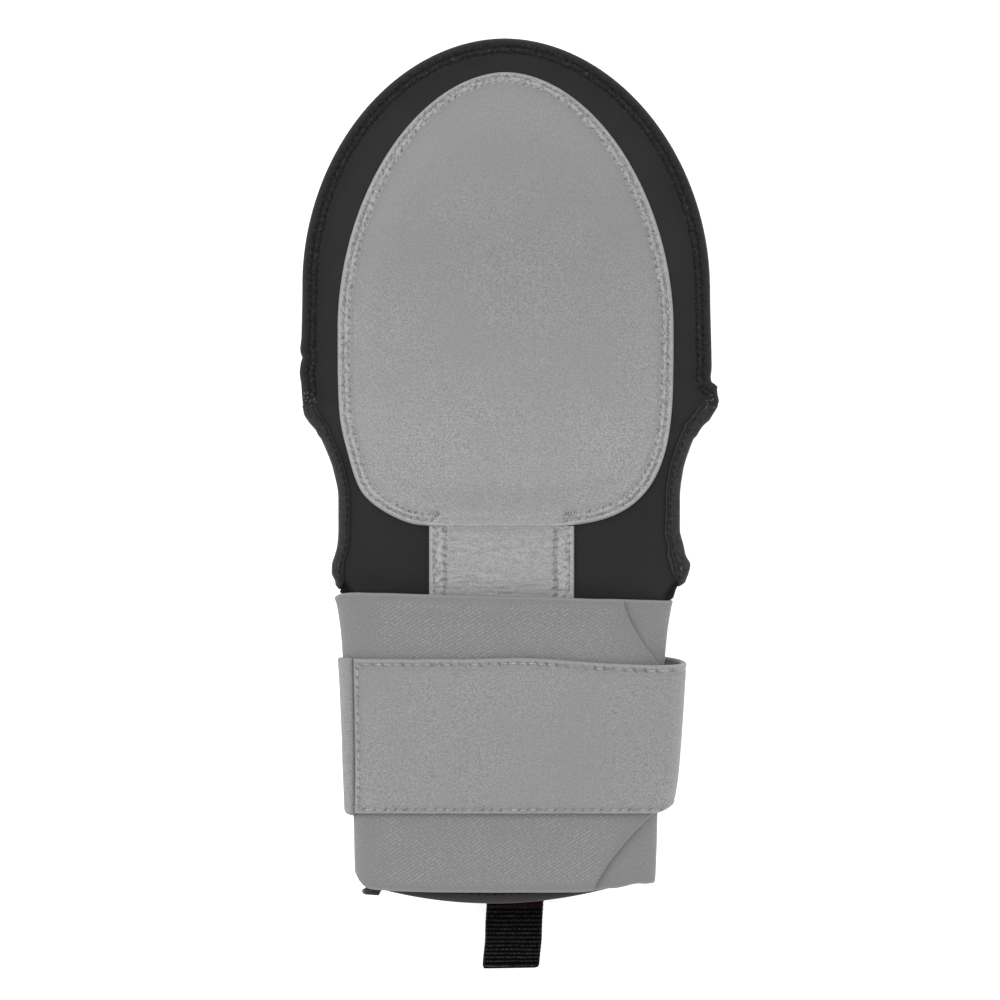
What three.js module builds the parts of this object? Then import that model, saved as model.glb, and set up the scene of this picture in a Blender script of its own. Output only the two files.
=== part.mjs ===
// A sliding mitt, the guard that a base runner wears on one hand. It lies on its palm with the fingertips
// towards +Y and the back of the hand up. Lengths are in millimetres.
// A padded back panel and a padded palm panel are sewn together round the fingertips, with a bound thumb hole
// on each side, and their ends are sewn to a cloth sleeve round the wrist. A leather guard and a leather strip
// are sewn on the back. An elastic cuff, an elastic wrap with a tapered end and a leather strap go round the
// sleeve, and a webbing loop pulls the mitt on.
import * as THREE from "three";
import { LoftGeometry } from "three/addons/geometries/LoftGeometry.js";

const { smoothstep, lerp, clamp } = THREE.MathUtils;

// Space between one sewn layer and the next
const GAP = 0.3;

// Plan outline of the hand: half an oval from the widest line to the fingertips, which lie a little to the
// left
const TIP = {
  centreX: -1.4, lean: -0.5, centreY: 76.5, halfWidth: 71.6, reach: 86.4, power: 1.94, lastAngle: 87.5,
};

// Sewn lip round the fingertips: the height of its seam, and the thickness of each panel there
const SEAM_HEIGHT = 7;
const LIP_WALL = 2.1;
const LIP_TOP = SEAM_HEIGHT + GAP / 2 + LIP_WALL;
const LIP_FOOT = SEAM_HEIGHT - GAP / 2 - LIP_WALL;

// Middle of the wrist opening, half the height of the panels there, and the thickness of their cloth
const WRIST_HEIGHT = 15.3;
const WRIST_RISE = 9;
const WRIST_WALL = 2.4;

// Inside of the elastic cuff, from its top edge to its bottom edge
const WRIST = [
  { y: -30, left: -58.6, right: 56.9, rise: 12.2 },
  { y: -36, left: -56.9, right: 55.2, rise: 11.7 },
  { y: -44, left: -55.7, right: 53.9, rise: 10 },
  { y: -54, left: -54.9, right: 52.9, rise: 9.5 },
  { y: -108, left: -51.2, right: 50.3, rise: 9.5 },
  { y: -128, left: -50.7, right: 49.8, rise: 9.4 },
  { y: -140, left: -49.6, right: 48.8, rise: 9.2 },
];

// The cuff's section: flatter below, where it lies, than above
const WRIST_SHAPE = { topPower: 2.6, topRound: 0.45, floor: 9.5, floorPower: 5, floorRound: 0.35 };

// Outline that the two panels share, from the widest line to the wrist. left and right are the cut edges, and
// lip is the width of the flat sewn lip as a share of the half width. slopeFrom is how far in from an edge, as
// a share of the way across, the slope is taken that the cut is square to.
const OUTLINE = [
  { y: 76.5, left: -73, right: 70.2, lip: 0.095, slopeFrom: 0.05 },
  { y: 44, left: -73.3, right: 70.8, lip: 0.095, slopeFrom: 0.05 },
  { y: 37, left: -72.7, right: 73, lip: 0.095, slopeFrom: 0.05 },
  { y: 29, left: -68, right: 68, lip: 0.05, slopeFrom: 0.05 },
  { y: 18.7, left: -62, right: 60.8, lip: 0, slopeFrom: 0.05 },
  { y: 2, left: -57.9, right: 57.4, lip: 0, slopeFrom: 0.05 },
  { y: -11, left: -58.6, right: 58.3, lip: 0, slopeFrom: 0.05 },
  { y: -17.5, left: -59.8, right: 59.8, lip: 0, slopeFrom: 0.05 },
  { y: -22.5, left: -62.5, right: 62.4, lip: 0, slopeFrom: 0.05 },
  { y: -26.5, left: -62, right: 61.6, lip: 0, slopeFrom: 0 },
  ...WRIST.map(({ y, left, right }, row) => ({
    y: row === 0 ? y - 3 * GAP : y,
    left: Math.max(left, -57.6) + 2 * GAP,
    right: Math.min(right, 56.2) - 2 * GAP,
    lip: 0,
    slopeFrom: 0,
  })),
];

// Sections across each panel, down to the wrist. edge and middle are the heights of its outer face at the cut
// edges and in the middle, and edgeWall and wall are its thickness there. A higher power makes the section
// flatter in the middle, and a lower round makes its shoulders squarer.
const SECTIONS = {
  back: [
    { y: 44, edge: LIP_TOP, middle: 26, edgeWall: LIP_WALL, wall: 7, power: 3, round: 1.2 },
    { y: 37, edge: LIP_TOP, middle: 26, edgeWall: LIP_WALL, wall: 7, power: 3, round: 1.15 },
    { y: 29, edge: 12, middle: 26, edgeWall: 2, wall: 6.8, power: 3, round: 1 },
    { y: 18.7, edge: 15.6, middle: 25.9, edgeWall: 2, wall: 6.2, power: 2.7, round: 0.85 },
    { y: 2, edge: 17.6, middle: 25.4, edgeWall: 2, wall: 4.6, power: 2.5, round: 0.8 },
    { y: -11, edge: 17.9, middle: 24.8, edgeWall: 2, wall: 3.2, power: 2.5, round: 0.7 },
    { y: -17.5, edge: 17.6, middle: 24.5, edgeWall: 2, wall: 2.8, power: 2.5, round: 0.65 },
    { y: -22.5, edge: 17, middle: 24.4, edgeWall: 2.1, wall: 2.6, power: 2.6, round: 0.6 },
    { y: -26.5, edge: 15.7, middle: 24.4, edgeWall: 2.3, wall: 2.5, power: 2.6, round: 0.5 },
    { y: -30.9, edge: WRIST_HEIGHT + GAP / 2, middle: WRIST_HEIGHT + WRIST_RISE, edgeWall: WRIST_WALL,
      wall: WRIST_WALL, power: WRIST_SHAPE.topPower, round: WRIST_SHAPE.topRound },
  ],
  palm: [
    { y: 37, edge: LIP_FOOT, middle: 0, edgeWall: LIP_WALL, wall: 6, power: 6, round: 1 },
    { y: 29, edge: 4.1, middle: 0, edgeWall: 2, wall: 6, power: 6, round: 1 },
    { y: 18.7, edge: 3.3, middle: 0, edgeWall: 2, wall: 5.6, power: 6, round: 0.95 },
    { y: 2, edge: 3.9, middle: 0.8, edgeWall: 2, wall: 4.4, power: 5, round: 0.9 },
    { y: -11, edge: 6.4, middle: 2.6, edgeWall: 2, wall: 3.2, power: 5, round: 0.8 },
    { y: -17.5, edge: 8.6, middle: 3.8, edgeWall: 2, wall: 2.8, power: 5, round: 0.65 },
    { y: -22.5, edge: 12, middle: 4.8, edgeWall: 2.1, wall: 2.5, power: 5, round: 0.5 },
    { y: -26.5, edge: 15, middle: 5.6, edgeWall: 2.3, wall: 2.4, power: 5, round: 0.4 },
    { y: -30.9, edge: WRIST_HEIGHT - GAP / 2, middle: WRIST_HEIGHT - WRIST_RISE, edgeWall: WRIST_WALL,
      wall: WRIST_WALL, power: WRIST_SHAPE.floorPower, round: WRIST_SHAPE.floorRound },
  ],
};

// How far the padded palm is pressed flat by its own weight
const PRESSED = 0.2;

// Rows of the panels below their widest line, close together round the thumb holes, and columns across
const PANEL_ROWS = [
  60, 46, 41, 37, 33, 30, 28, 26, 24, 22, 18, 14, 10, 4, -4, -11, -16, -20, -24, -27, -29, -31, -46,
];
const PANEL_COLUMNS = 16;

// Wrist sleeve, sewn to the panels' ends. Its open end is a shallow curve across the width, with a corner of
// the palm side at the left.
const SLEEVE = { start: -46.3, clear: 0.6, thick: 2.4, turns: 32 };
const OPEN_END = {
  y: -139.7, centreX: -5.5, halfSpan: 41.5, rise: 4.5, cornerX: -43.5, cornerWidth: 3, cornerDrop: 2,
};

// Thumb hole binding: a tape folded over the panel's cut edge
const BINDING = { from: 30, to: -20, columns: 1.5, tape: 0.8, clear: 0.85 };

// Oval leather guard: rounded above its widest line and squarer below, most of all at the left
const GUARD = {
  centreX: -1.6, widestY: 62, halfWidth: 58.8, tipReach: 89.1, heelReach: 70.2, tipPower: 1.875,
  leftHeelPower: 3.9, rightHeelPower: 3.7, clear: 0.5, margin: 4.8, marginSpread: 1.15, hem: 1.7, pad: 5.2,
  shoulder: 11,
};

// Share of the heel's reach at which the guard's flat end lies
const GUARD_END = 0.995;

// Leather strip from the guard to under the cuff
const STRIP = { left: -27.8, right: 22.9, end: -38.5, thick: 1.5, hem: 3.4, ridge: 0.5 };

// Elastic and leather bands round the wrist. inner is the distance from the inside of the cuff. WRIST_HALF is
// half their width, roughly.
const WRIST_HALF = 54;
const CUFF = { inner: 0, thick: 1.5 };
const WRAP = {
  inner: 1.9, thick: 1.5, palmEnd: -36,
  topCorner: 38.3, topEnd: 53, topBend: 0.76, footCorner: 29.9, footEnd: 52, footBend: 0.75,
};
const STRAP_TOP = -54.2;
const STRAP_FOOT = -108.2;
const STRAP = {
  inner: 3.8, thick: 2, start: -50.2, palmEnd: -24, standOff: 3.5, roundEnd: 14, roundTurn: 16, topDrop: 2,
};
const ANCHOR = { inner: 3.8, thick: 1.5, standOff: 1.3, palmInner: 1.9, palmEnd: 24, behind: 1.6, proud: 0.3 };

// Edges of the cuff: they slope a little across the mitt, and the bottom one rises at both sides
const CUFF_EDGES = {
  top: -32.4, topSlope: -0.028, foot: -136.4, footRise: 3, rightRise: 1.8, rightFrom: 25, rightTo: 48,
};

// Pull loop of webbing. Its plies lie together from the root to apart, and are folded from fold to the tip, as
// shares of its length.
const LOOP = {
  width: 20, thick: 1.4, x: 2.4, lean: -1.9, root: -127, tip: -162.9, rootHeight: 10.6, tipHeight: 5.4,
  apart: 0.4, fold: 0.93, bulge: 1.5, closed: 1.08,
};

const MATERIALS = {
  shell: new THREE.MeshStandardMaterial({ color: 0x2f2f2f, roughness: 0.85, metalness: 0 }),
  binding: new THREE.MeshStandardMaterial({ color: 0x383536, roughness: 0.8, metalness: 0 }),
  leather: new THREE.MeshStandardMaterial({ color: 0x9c9c9c, roughness: 0.65, metalness: 0 }),
  elastic: new THREE.MeshStandardMaterial({ color: 0x8b8b8b, roughness: 0.9, metalness: 0 }),
  webbing: new THREE.MeshStandardMaterial({ color: 0x0b0b0d, roughness: 0.75, metalness: 0 }),
};

// Value of one column of a table at y, smooth and without overshoot. Rows run from high y to low y.
function columnAt(table, name, y) {
  const last = table.length - 1;
  if (y >= table[0].y) return table[0][name];
  if (y <= table[last].y) return table[last][name];
  const slope = (i) => (table[i + 1][name] - table[i][name]) / (table[i + 1].y - table[i].y);
  const tangent = (i) => {
    if (i === 0 || i === last) return 0;
    const before = slope(i - 1);
    const after = slope(i);
    return before * after > 0 ? (2 * before * after) / (before + after) : 0;
  };
  const i = table.findIndex((row, k) => k < last && y <= row.y && y >= table[k + 1].y);
  const step = table[i + 1].y - table[i].y;
  const t = (y - table[i].y) / step;
  const ease = t * t * (3 - 2 * t);
  return (
    lerp(table[i][name], table[i + 1][name], ease) +
    step * tangent(i) * t * (1 - t) ** 2 -
    step * tangent(i + 1) * t * t * (1 - t)
  );
}

// How wide an oval is, as a share of its widest, at a share of its reach. A power of 2 is an ellipse.
const ovalShare = (reached, power) => Math.max(0, 1 - reached ** power) ** (1 / power);

// Every column of a table at y
function rowAt(table, y) {
  return Object.fromEntries(Object.keys(table[0]).map((name) => [name, columnAt(table, name, y)]));
}

// Outline and section of a panel at y, with the oval of the fingertips above the widest line
function sectionAt(panel, y) {
  const section = { ...rowAt(OUTLINE, y), ...rowAt(SECTIONS[panel], y) };
  section.forward = clamp((y - TIP.centreY) / TIP.reach, 0, 1);
  if (section.forward > 0) {
    const half = TIP.halfWidth * ovalShare(section.forward, TIP.power);
    const centre = TIP.centreX + TIP.lean * section.forward;
    section.left = centre - half;
    section.right = centre + half;
  }
  return section;
}

// Height of the rounded section, 0 at the edge and 1 in the middle
const dome = (share, power, round) => Math.max(0, 1 - Math.min(1, share) ** power) ** round;

// Point on a panel's outer face and how thick the panel is there. across runs from 0 at the left to 1.
function panelFace(panel, section, across) {
  const cosine = -Math.cos(Math.PI * across);
  const middle = (section.left + section.right) / 2;
  const half = (section.right - section.left) / 2;
  const outward = Math.sqrt(cosine ** 2 * (1 - section.forward ** 2) + section.forward ** 2);
  const share = outward / (1 - section.lip);
  const rise = dome(share, section.power, section.round);
  const pressed = panel === "palm" ? PRESSED : 0;
  return {
    x: middle + half * cosine,
    z: Math.max(lerp(section.edge, section.middle - pressed, rise), panel === "palm" ? section.middle : 0),
    wall: lerp(section.edgeWall, section.wall, dome(share, 4, 1)),
  };
}

// Point at a distance out from a panel's outer face, square to its section, and at an overhang to the right
function panelPoint(panel, y, across, distance, overhang = 0) {
  const section = sectionAt(panel, y);
  const nudge = 0.004;
  const here = panelFace(panel, section, across);
  const slopeAt = clamp(across, section.slopeFrom, 1 - section.slopeFrom);
  const before = panelFace(panel, section, Math.max(0, slopeAt - nudge));
  const after = panelFace(panel, section, Math.min(1, slopeAt + nudge));
  const along = new THREE.Vector2(after.x - before.x, after.z - before.z).normalize();
  const normal = new THREE.Vector2(-along.y, along.x).multiplyScalar(panel === "palm" ? -1 : 1);
  const depth = typeof distance === "function" ? distance(here.wall) : distance;
  return new THREE.Vector3(
    here.x + normal.x * depth + along.x * overhang,
    y,
    here.z + normal.y * depth + along.y * overhang,
  );
}

// A mesh lofted through closed rings of points, turned so that its faces point outwards
function loft(name, material, rings, isLoop = false) {
  const centre = rings[0][0];
  const volumeOf = (geometry) => {
    const corners = geometry.toNonIndexed().getAttribute("position");
    const [a, b, c] = [new THREE.Vector3(), new THREE.Vector3(), new THREE.Vector3()];
    let volume = 0;
    for (let i = 0; i < corners.count; i += 3) {
      a.fromBufferAttribute(corners, i).sub(centre);
      b.fromBufferAttribute(corners, i + 1).sub(centre);
      c.fromBufferAttribute(corners, i + 2).sub(centre);
      volume += a.dot(b.cross(c)) / 6;
    }
    return volume;
  };
  const closed = isLoop ? [...rings, rings[0]] : rings;
  const caps = { capStart: !isLoop, capEnd: !isLoop };
  let geometry = new LoftGeometry(closed, caps);
  if (volumeOf(geometry) < 0) {
    geometry = new LoftGeometry(closed.map((ring) => [...ring].reverse()), caps);
  }
  const mesh = new THREE.Mesh(geometry, material);
  mesh.name = name;
  return mesh;
}

const evenly = (from, to, steps) => Array.from({ length: steps + 1 }, (_, i) => lerp(from, to, i / steps));

// Rows of the panels, from the fingertips to the wrist
function panelRows() {
  const tip = evenly(TIP.lastAngle, 0, 9).map(
    (angle) => TIP.centreY + TIP.reach * Math.sin(THREE.MathUtils.degToRad(angle)),
  );
  return [...tip, ...PANEL_ROWS];
}

// A padded panel: its outer face and its inner face, joined at the cut edges
function paddedPanel(panel) {
  const rings = panelRows().map((y) => {
    const outer = evenly(0, 1, PANEL_COLUMNS).map((across) => panelPoint(panel, y, across, 0));
    const inner = evenly(1, 0, PANEL_COLUMNS).map((across) => panelPoint(panel, y, across, (wall) => -wall));
    return [...outer, ...inner];
  });
  return loft(`${panel}_panel`, MATERIALS.shell, rings);
}

// A binding folded over the edge of one panel at one thumb hole. Its legs cover the panel's outer columns.
function thumbBinding(panel, side) {
  const { from, to, columns, tape, clear } = BINDING;
  const past = (distance) => (side === "left" ? -distance : distance);
  const under = (extra) => (wall) => -wall - extra;
  const rings = panelRows().filter((y) => y <= from && y >= to).map((y) => {
    const at = (column, distance, overhang = 0) => {
      const across = side === "left" ? column / PANEL_COLUMNS : 1 - column / PANEL_COLUMNS;
      return panelPoint(panel, y, across, distance, past(overhang));
    };
    return [
      at(columns, clear),
      at(columns, clear + tape),
      at(1, clear + tape),
      at(0, clear + tape, clear),
      at(0, clear + tape / 3, clear + tape),
      at(0, under(clear + tape / 3), clear + tape),
      at(0, under(clear + tape), clear),
      at(1, under(clear + tape)),
      at(columns, under(clear + tape)),
      at(columns, under(clear)),
      at(1, under(clear)),
      at(0, under(clear), clear),
      at(0, clear, clear),
      at(1, clear),
    ];
  });
  return loft(`${panel}_thumb_binding_${side}`, MATERIALS.binding, rings);
}

// The guard's reach from its widest line and the power of its outline, at y and on one side of its middle
function guardOutline(y, isLeft) {
  if (y > GUARD.widestY) return { reach: GUARD.tipReach, power: GUARD.tipPower };
  return { reach: GUARD.heelReach, power: isLeft ? GUARD.leftHeelPower : GUARD.rightHeelPower };
}

function guardHalfWidth(y, isLeft) {
  const { reach, power } = guardOutline(y, isLeft);
  return GUARD.halfWidth * ovalShare(Math.min(1, Math.abs(y - GUARD.widestY) / reach), power);
}

// Height of the back panel's outer face under the point x, y
function backHeight(x, y) {
  const section = sectionAt("back", y);
  const middle = (section.left + section.right) / 2;
  const half = (section.right - section.left) / 2;
  const across = Math.acos(clamp((middle - x) / half, -1, 1)) / Math.PI;
  return panelFace("back", section, across).z;
}

// Padding of the guard: thin under the stitched margin, then rising over a shoulder
function guardPad(x, y) {
  const { reach, power } = guardOutline(y, x < GUARD.centreX);
  const acrossShare = Math.abs(x - GUARD.centreX) / GUARD.halfWidth;
  const alongShare = Math.abs(y - GUARD.widestY) / reach;
  const radius = (acrossShare ** power + alongShare ** power) ** (1 / power);
  const fromEdge = (1 - radius) * Math.min(reach, GUARD.halfWidth * GUARD.marginSpread);
  return lerp(GUARD.hem, GUARD.pad, smoothstep(fromEdge, GUARD.margin, GUARD.margin + GUARD.shoulder));
}

function leatherGuard() {
  const tipRows = evenly(87, 0, 11).map(
    (angle) => GUARD.widestY + GUARD.tipReach * Math.sin(THREE.MathUtils.degToRad(angle)),
  );
  const heelRows = [0.2, 0.4, 0.57, 0.7, 0.8, 0.88, 0.93, 0.97, GUARD_END].map(
    (share) => GUARD.widestY - GUARD.heelReach * share,
  );
  const rings = [...tipRows, ...heelRows].map((y) => {
    const place = (across, isTop) => {
      const x = GUARD.centreX - guardHalfWidth(y, across < 0.5) * Math.cos(Math.PI * across);
      const rest = backHeight(x, y) + GUARD.clear;
      return new THREE.Vector3(x, y, isTop ? rest + guardPad(x, y) : rest);
    };
    const top = evenly(0, 1, 16).map((across) => place(across, true));
    const foot = evenly(1, 0, 16).map((across) => place(across, false));
    return [...top, ...foot];
  });
  return loft("leather_guard", MATERIALS.leather, rings);
}

// The strip's upper end lies along the guard's heel, and its lower end is tucked under the cuff
function leatherStrip() {
  const start = GUARD.widestY - GUARD.heelReach * GUARD_END - GAP;
  const columns = [0, 0.4, 1, 1.35, 3, 5, 6.65, 7, 7.6, 8].map((k) => lerp(STRIP.left, STRIP.right, k / 8));
  const rings = evenly(0, 1, 8).map((along) => {
    const place = (x, isTop) => {
      const y = lerp(start, STRIP.end, along);
      const fromSide = Math.min(x - STRIP.left, STRIP.right - x);
      const roll = fromSide > STRIP.hem ? 0 : STRIP.ridge * Math.sin((Math.PI * fromSide) / STRIP.hem);
      const hem = roll * (1 - smoothstep(along, 0.6, 0.75));
      const rest = backHeight(x, y) + GAP;
      return new THREE.Vector3(x, y, isTop ? rest + STRIP.thick + hem : rest);
    };
    return [...columns.map((x) => place(x, true)), ...[...columns].reverse().map((x) => place(x, false))];
  });
  return loft("leather_strip", MATERIALS.leather, rings);
}

// Point on the inside of the cuff and its outward direction. turn is an angle in degrees: 0 is the right edge,
// 90 the back, 180 the left edge and 270 the palm.
function wristPoint(y, turn) {
  const left = columnAt(WRIST, "left", y);
  const right = columnAt(WRIST, "right", y);
  const rise = columnAt(WRIST, "rise", y);
  const at = (degrees) => {
    const angle = THREE.MathUtils.degToRad(degrees);
    const share = Math.abs(Math.cos(angle));
    const isBack = Math.sin(angle) >= 0;
    const up = isBack
      ? rise * dome(share, WRIST_SHAPE.topPower, WRIST_SHAPE.topRound)
      : -WRIST_SHAPE.floor * dome(share, WRIST_SHAPE.floorPower, WRIST_SHAPE.floorRound);
    return new THREE.Vector2(lerp(left, right, (1 + Math.cos(angle)) / 2), WRIST_HEIGHT + up);
  };
  const nudge = 0.8;
  const along = at(turn + nudge).sub(at(turn - nudge)).normalize();
  return { point: at(turn), outward: new THREE.Vector2(along.y, -along.x) };
}

// The turn at which the wrist's section reaches x, on the back or on the palm
function turnAtX(y, x, side) {
  const left = columnAt(WRIST, "left", y);
  const right = columnAt(WRIST, "right", y);
  const cosine = clamp(((x - left) / (right - left)) * 2 - 1, -1, 1);
  const degrees = THREE.MathUtils.radToDeg(Math.acos(cosine));
  return side === "back" ? degrees : 360 - degrees;
}

// A band round the wrist. Its edges may change with the turn, and inner with the turn and the height.
function wristBand(name, material, { turns, top, foot, inner, thick, rows, isLoop = false }) {
  const rings = turns.map((turn) => {
    const heights = evenly(top(turn), foot(turn), rows);
    const place = (y, isOuter) => {
      const { point, outward } = wristPoint(y, turn);
      const distance = inner(turn, y) + (isOuter ? thick : 0);
      return new THREE.Vector3(point.x + outward.x * distance, y, Math.max(0, point.y + outward.y * distance));
    };
    return [...heights.map((y) => place(y, true)), ...[...heights].reverse().map((y) => place(y, false))];
  });
  return loft(name, material, rings, isLoop);
}

const wristX = (turn) => WRIST_HALF * Math.cos(THREE.MathUtils.degToRad(turn));
const cuffTop = (turn) => CUFF_EDGES.top + CUFF_EDGES.topSlope * wristX(turn);
const cuffFoot = (turn) => {
  const { foot, footRise, rightRise, rightFrom, rightTo } = CUFF_EDGES;
  const x = wristX(turn);
  return foot + footRise * (x / WRIST_HALF) ** 4 + rightRise * smoothstep(x, rightFrom, rightTo);
};

// The sleeve's open end. Its left corner on the palm side reaches a little further.
function openEnd(turn) {
  const { y, centreX, halfSpan, rise, cornerX, cornerWidth, cornerDrop } = OPEN_END;
  const x = wristX(turn);
  const corner = turn > 180 ? cornerDrop * smoothstep(cornerX - x, 0, cornerWidth) : 0;
  return y + rise * ((x - centreX) / halfSpan) ** 2 - corner;
}

function wristSleeve() {
  return wristBand("wrist_sleeve", MATERIALS.shell, {
    turns: evenly(0, 360, SLEEVE.turns).slice(0, -1),
    top: () => SLEEVE.start,
    foot: openEnd,
    inner: () => -SLEEVE.clear - SLEEVE.thick,
    thick: SLEEVE.thick,
    rows: 4,
    isLoop: true,
  });
}

function elasticCuff() {
  return wristBand("elastic_cuff", MATERIALS.elastic, {
    turns: evenly(0, 360, 44).slice(0, -1),
    top: cuffTop,
    foot: cuffFoot,
    inner: () => CUFF.inner,
    thick: CUFF.thick,
    rows: 6,
    isLoop: true,
  });
}

// The wrap covers the back and the left edge. Its right end is cut to a taper on lines that are straight seen
// from above, and ends under the strap at the right edge.
function elasticWrap() {
  const palmEnd = turnAtX(-80, WRAP.palmEnd, "palm");
  const corner = turnAtX(-134, WRAP.footCorner, "back");
  const towards = (y, turn, from, to, bend) => {
    const { point, outward } = wristPoint(y, turn);
    const x = point.x + outward.x * (WRAP.inner + WRAP.thick);
    return clamp((x - from) / (to - from), 0, 1.3) ** bend;
  };
  const towardsTop = (turn) => towards(-45, turn, WRAP.topCorner, WRAP.topEnd, WRAP.topBend);
  const towardsFoot = (turn) => towards(-125, turn, WRAP.footCorner, WRAP.footEnd, WRAP.footBend);
  const turns = [
    ...evenly(0, corner, 7),
    ...evenly(corner, 150, 7).slice(1),
    ...evenly(150, palmEnd, 11).slice(1),
  ];
  return wristBand("elastic_wrap", MATERIALS.elastic, {
    turns,
    top: (turn) => lerp(cuffTop(turn), STRAP_TOP - 1.5, towardsTop(turn)),
    foot: (turn) => lerp(cuffFoot(turn), STRAP_FOOT + 1.5, towardsFoot(turn)),
    inner: () => WRAP.inner,
    thick: WRAP.thick,
    rows: 6,
  });
}

// The strap starts on the back, stands off at the right edge and ends on the palm in a rounded tab
function closureStrap() {
  const start = turnAtX(-80, STRAP.start, "back");
  const palmEnd = turnAtX(-80, STRAP.palmEnd, "palm") - 360;
  const turns = [
    ...evenly(start, 40, 14),
    ...evenly(40, -50, 12).slice(1),
    ...evenly(-50, palmEnd + STRAP.roundTurn, 6).slice(1),
    ...evenly(palmEnd + STRAP.roundTurn, palmEnd, 6).slice(1),
  ];
  const roundEnd = (turn) => {
    const left = clamp((turn - palmEnd) / STRAP.roundTurn, 0, 1);
    return STRAP.roundEnd * (1 - Math.sqrt(1 - (1 - left) ** 2 * 0.98));
  };
  const standOff = (turn, y) => {
    const round = smoothstep(turn, -58, -6) * (1 - smoothstep(turn, 2, 46));
    const down = clamp((STRAP_TOP - y) / (STRAP_TOP - STRAP_FOOT), 0, 1);
    return STRAP.standOff * round * Math.sqrt(1 - down ** 3);
  };
  return wristBand("closure_strap", MATERIALS.leather, {
    turns,
    top: (turn) => STRAP_TOP - STRAP.topDrop * smoothstep(wristX(turn), 0, 50) - roundEnd(turn),
    foot: (turn) => STRAP_FOOT + roundEnd(turn),
    inner: (turn, y) => STRAP.inner + standOff(turn, y),
    thick: STRAP.thick,
    rows: 5,
  });
}

// The band that the strap is sewn to. It turns round the left edge and lies under the strap's tab on the palm.
function strapAnchor() {
  const palmEnd = turnAtX(-80, ANCHOR.palmEnd, "palm");
  const wrapEnd = turnAtX(-80, WRAP.palmEnd, "palm");
  const start = turnAtX(-80, STRAP.start, "back") + ANCHOR.behind;
  return wristBand("strap_anchor", MATERIALS.leather, {
    turns: [...evenly(start, 215, 10), ...evenly(215, palmEnd, 12).slice(1)],
    top: () => STRAP_TOP + ANCHOR.proud,
    foot: () => STRAP_FOOT - ANCHOR.proud,
    inner: (turn, y) => {
      const onPalm = smoothstep(turn, wrapEnd + 1, wrapEnd + 12);
      const tight = smoothstep(y, STRAP_FOOT, STRAP_TOP) * (1 - smoothstep(turn, 200, 230));
      const loose = ANCHOR.standOff * (1 - tight) * smoothstep(turn, start, start + 12);
      return lerp(ANCHOR.inner + loose, ANCHOR.palmInner, onPalm);
    },
    thick: ANCHOR.thick,
    rows: 5,
  });
}

// Webbing folded into a flat loop: out along the lower ply, round the fold and back along the upper ply
function pullLoop() {
  const { width, thick, x, lean, root, tip, rootHeight, tipHeight, apart, fold, bulge, closed } = LOOP;
  const reach = root - tip;
  const heightAt = (share) => lerp(rootHeight, tipHeight, smoothstep(share, apart, 1));
  const halfPly = (share) => {
    const open = clamp((share - apart) / (closed - apart), 0, 1);
    return (thick + GAP) / 2 + bulge * Math.sin(Math.PI * open) ** 2;
  };
  const foldY = root - reach * fold;
  const foldReach = foldY - thick / 2 - tip;
  const ply = (side) => evenly(0, fold, 7).map((share) => ({
    y: root - reach * share,
    z: heightAt(share) + side * halfPly(share),
  }));
  const turned = [-60, -30, 0, 30, 60].map((degrees) => {
    const angle = THREE.MathUtils.degToRad(degrees);
    return { y: foldY - foldReach * Math.cos(angle), z: heightAt(fold) + halfPly(fold) * Math.sin(angle) };
  });
  const path = [...ply(-1), ...turned, ...ply(1).reverse()];
  const rings = path.map((at, i) => {
    const before = path[Math.max(0, i - 1)];
    const after = path[Math.min(path.length - 1, i + 1)];
    const normal = new THREE.Vector2(before.z - after.z, after.y - before.y).normalize();
    const centreX = x + lean * clamp((root - at.y) / reach, 0, 1);
    const corner = (across, side) => new THREE.Vector3(
      centreX + (across * width) / 2,
      at.y + (side * normal.x * thick) / 2,
      at.z + (side * normal.y * thick) / 2,
    );
    return [corner(-1, 1), corner(1, 1), corner(1, -1), corner(-1, -1)];
  });
  return loft("pull_loop", MATERIALS.webbing, rings);
}

const mitt = new THREE.Group();
mitt.add(paddedPanel("back"), paddedPanel("palm"), leatherGuard(), leatherStrip());
for (const panel of ["back", "palm"]) {
  for (const side of ["left", "right"]) mitt.add(thumbBinding(panel, side));
}
mitt.add(wristSleeve(), elasticCuff(), elasticWrap(), closureStrap(), strapAnchor(), pullLoop());

export default mitt;
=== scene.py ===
"""A sliding mitt, lying on its palm with the fingertips towards +Y and the back of the hand up.

Padded black cloth panels sewn round the fingertips, a padded leather guard and a leather strip on the back,
taped thumb holes, an elastic cuff and wrap with a leather strap round the wrist, and a webbing pull loop.
Shapes are worked out in millimetres and scaled to metres when a piece is finished.
"""
import math
from bisect import bisect_left, bisect_right
from functools import lru_cache

import bmesh
import bpy
from bpy.props import FloatProperty, FloatVectorProperty, PointerProperty
from mathutils import Matrix, Vector, noise
from mathutils.kdtree import KDTree


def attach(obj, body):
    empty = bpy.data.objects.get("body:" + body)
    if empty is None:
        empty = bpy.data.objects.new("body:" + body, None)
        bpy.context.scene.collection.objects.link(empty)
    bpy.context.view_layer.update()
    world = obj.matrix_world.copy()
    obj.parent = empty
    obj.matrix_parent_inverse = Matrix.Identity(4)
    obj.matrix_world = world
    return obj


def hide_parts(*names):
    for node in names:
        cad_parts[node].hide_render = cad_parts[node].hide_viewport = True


bl_info = {
    "name": "Sliding Mitt",
    "version": (1, 0, 0),
    "blender": (4, 5, 0),
    "location": "View3D > Sidebar > Mitt",
    "description": "Makes a padded sliding mitt from its sewn pieces",
    "category": "Add Mesh",
}

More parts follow.
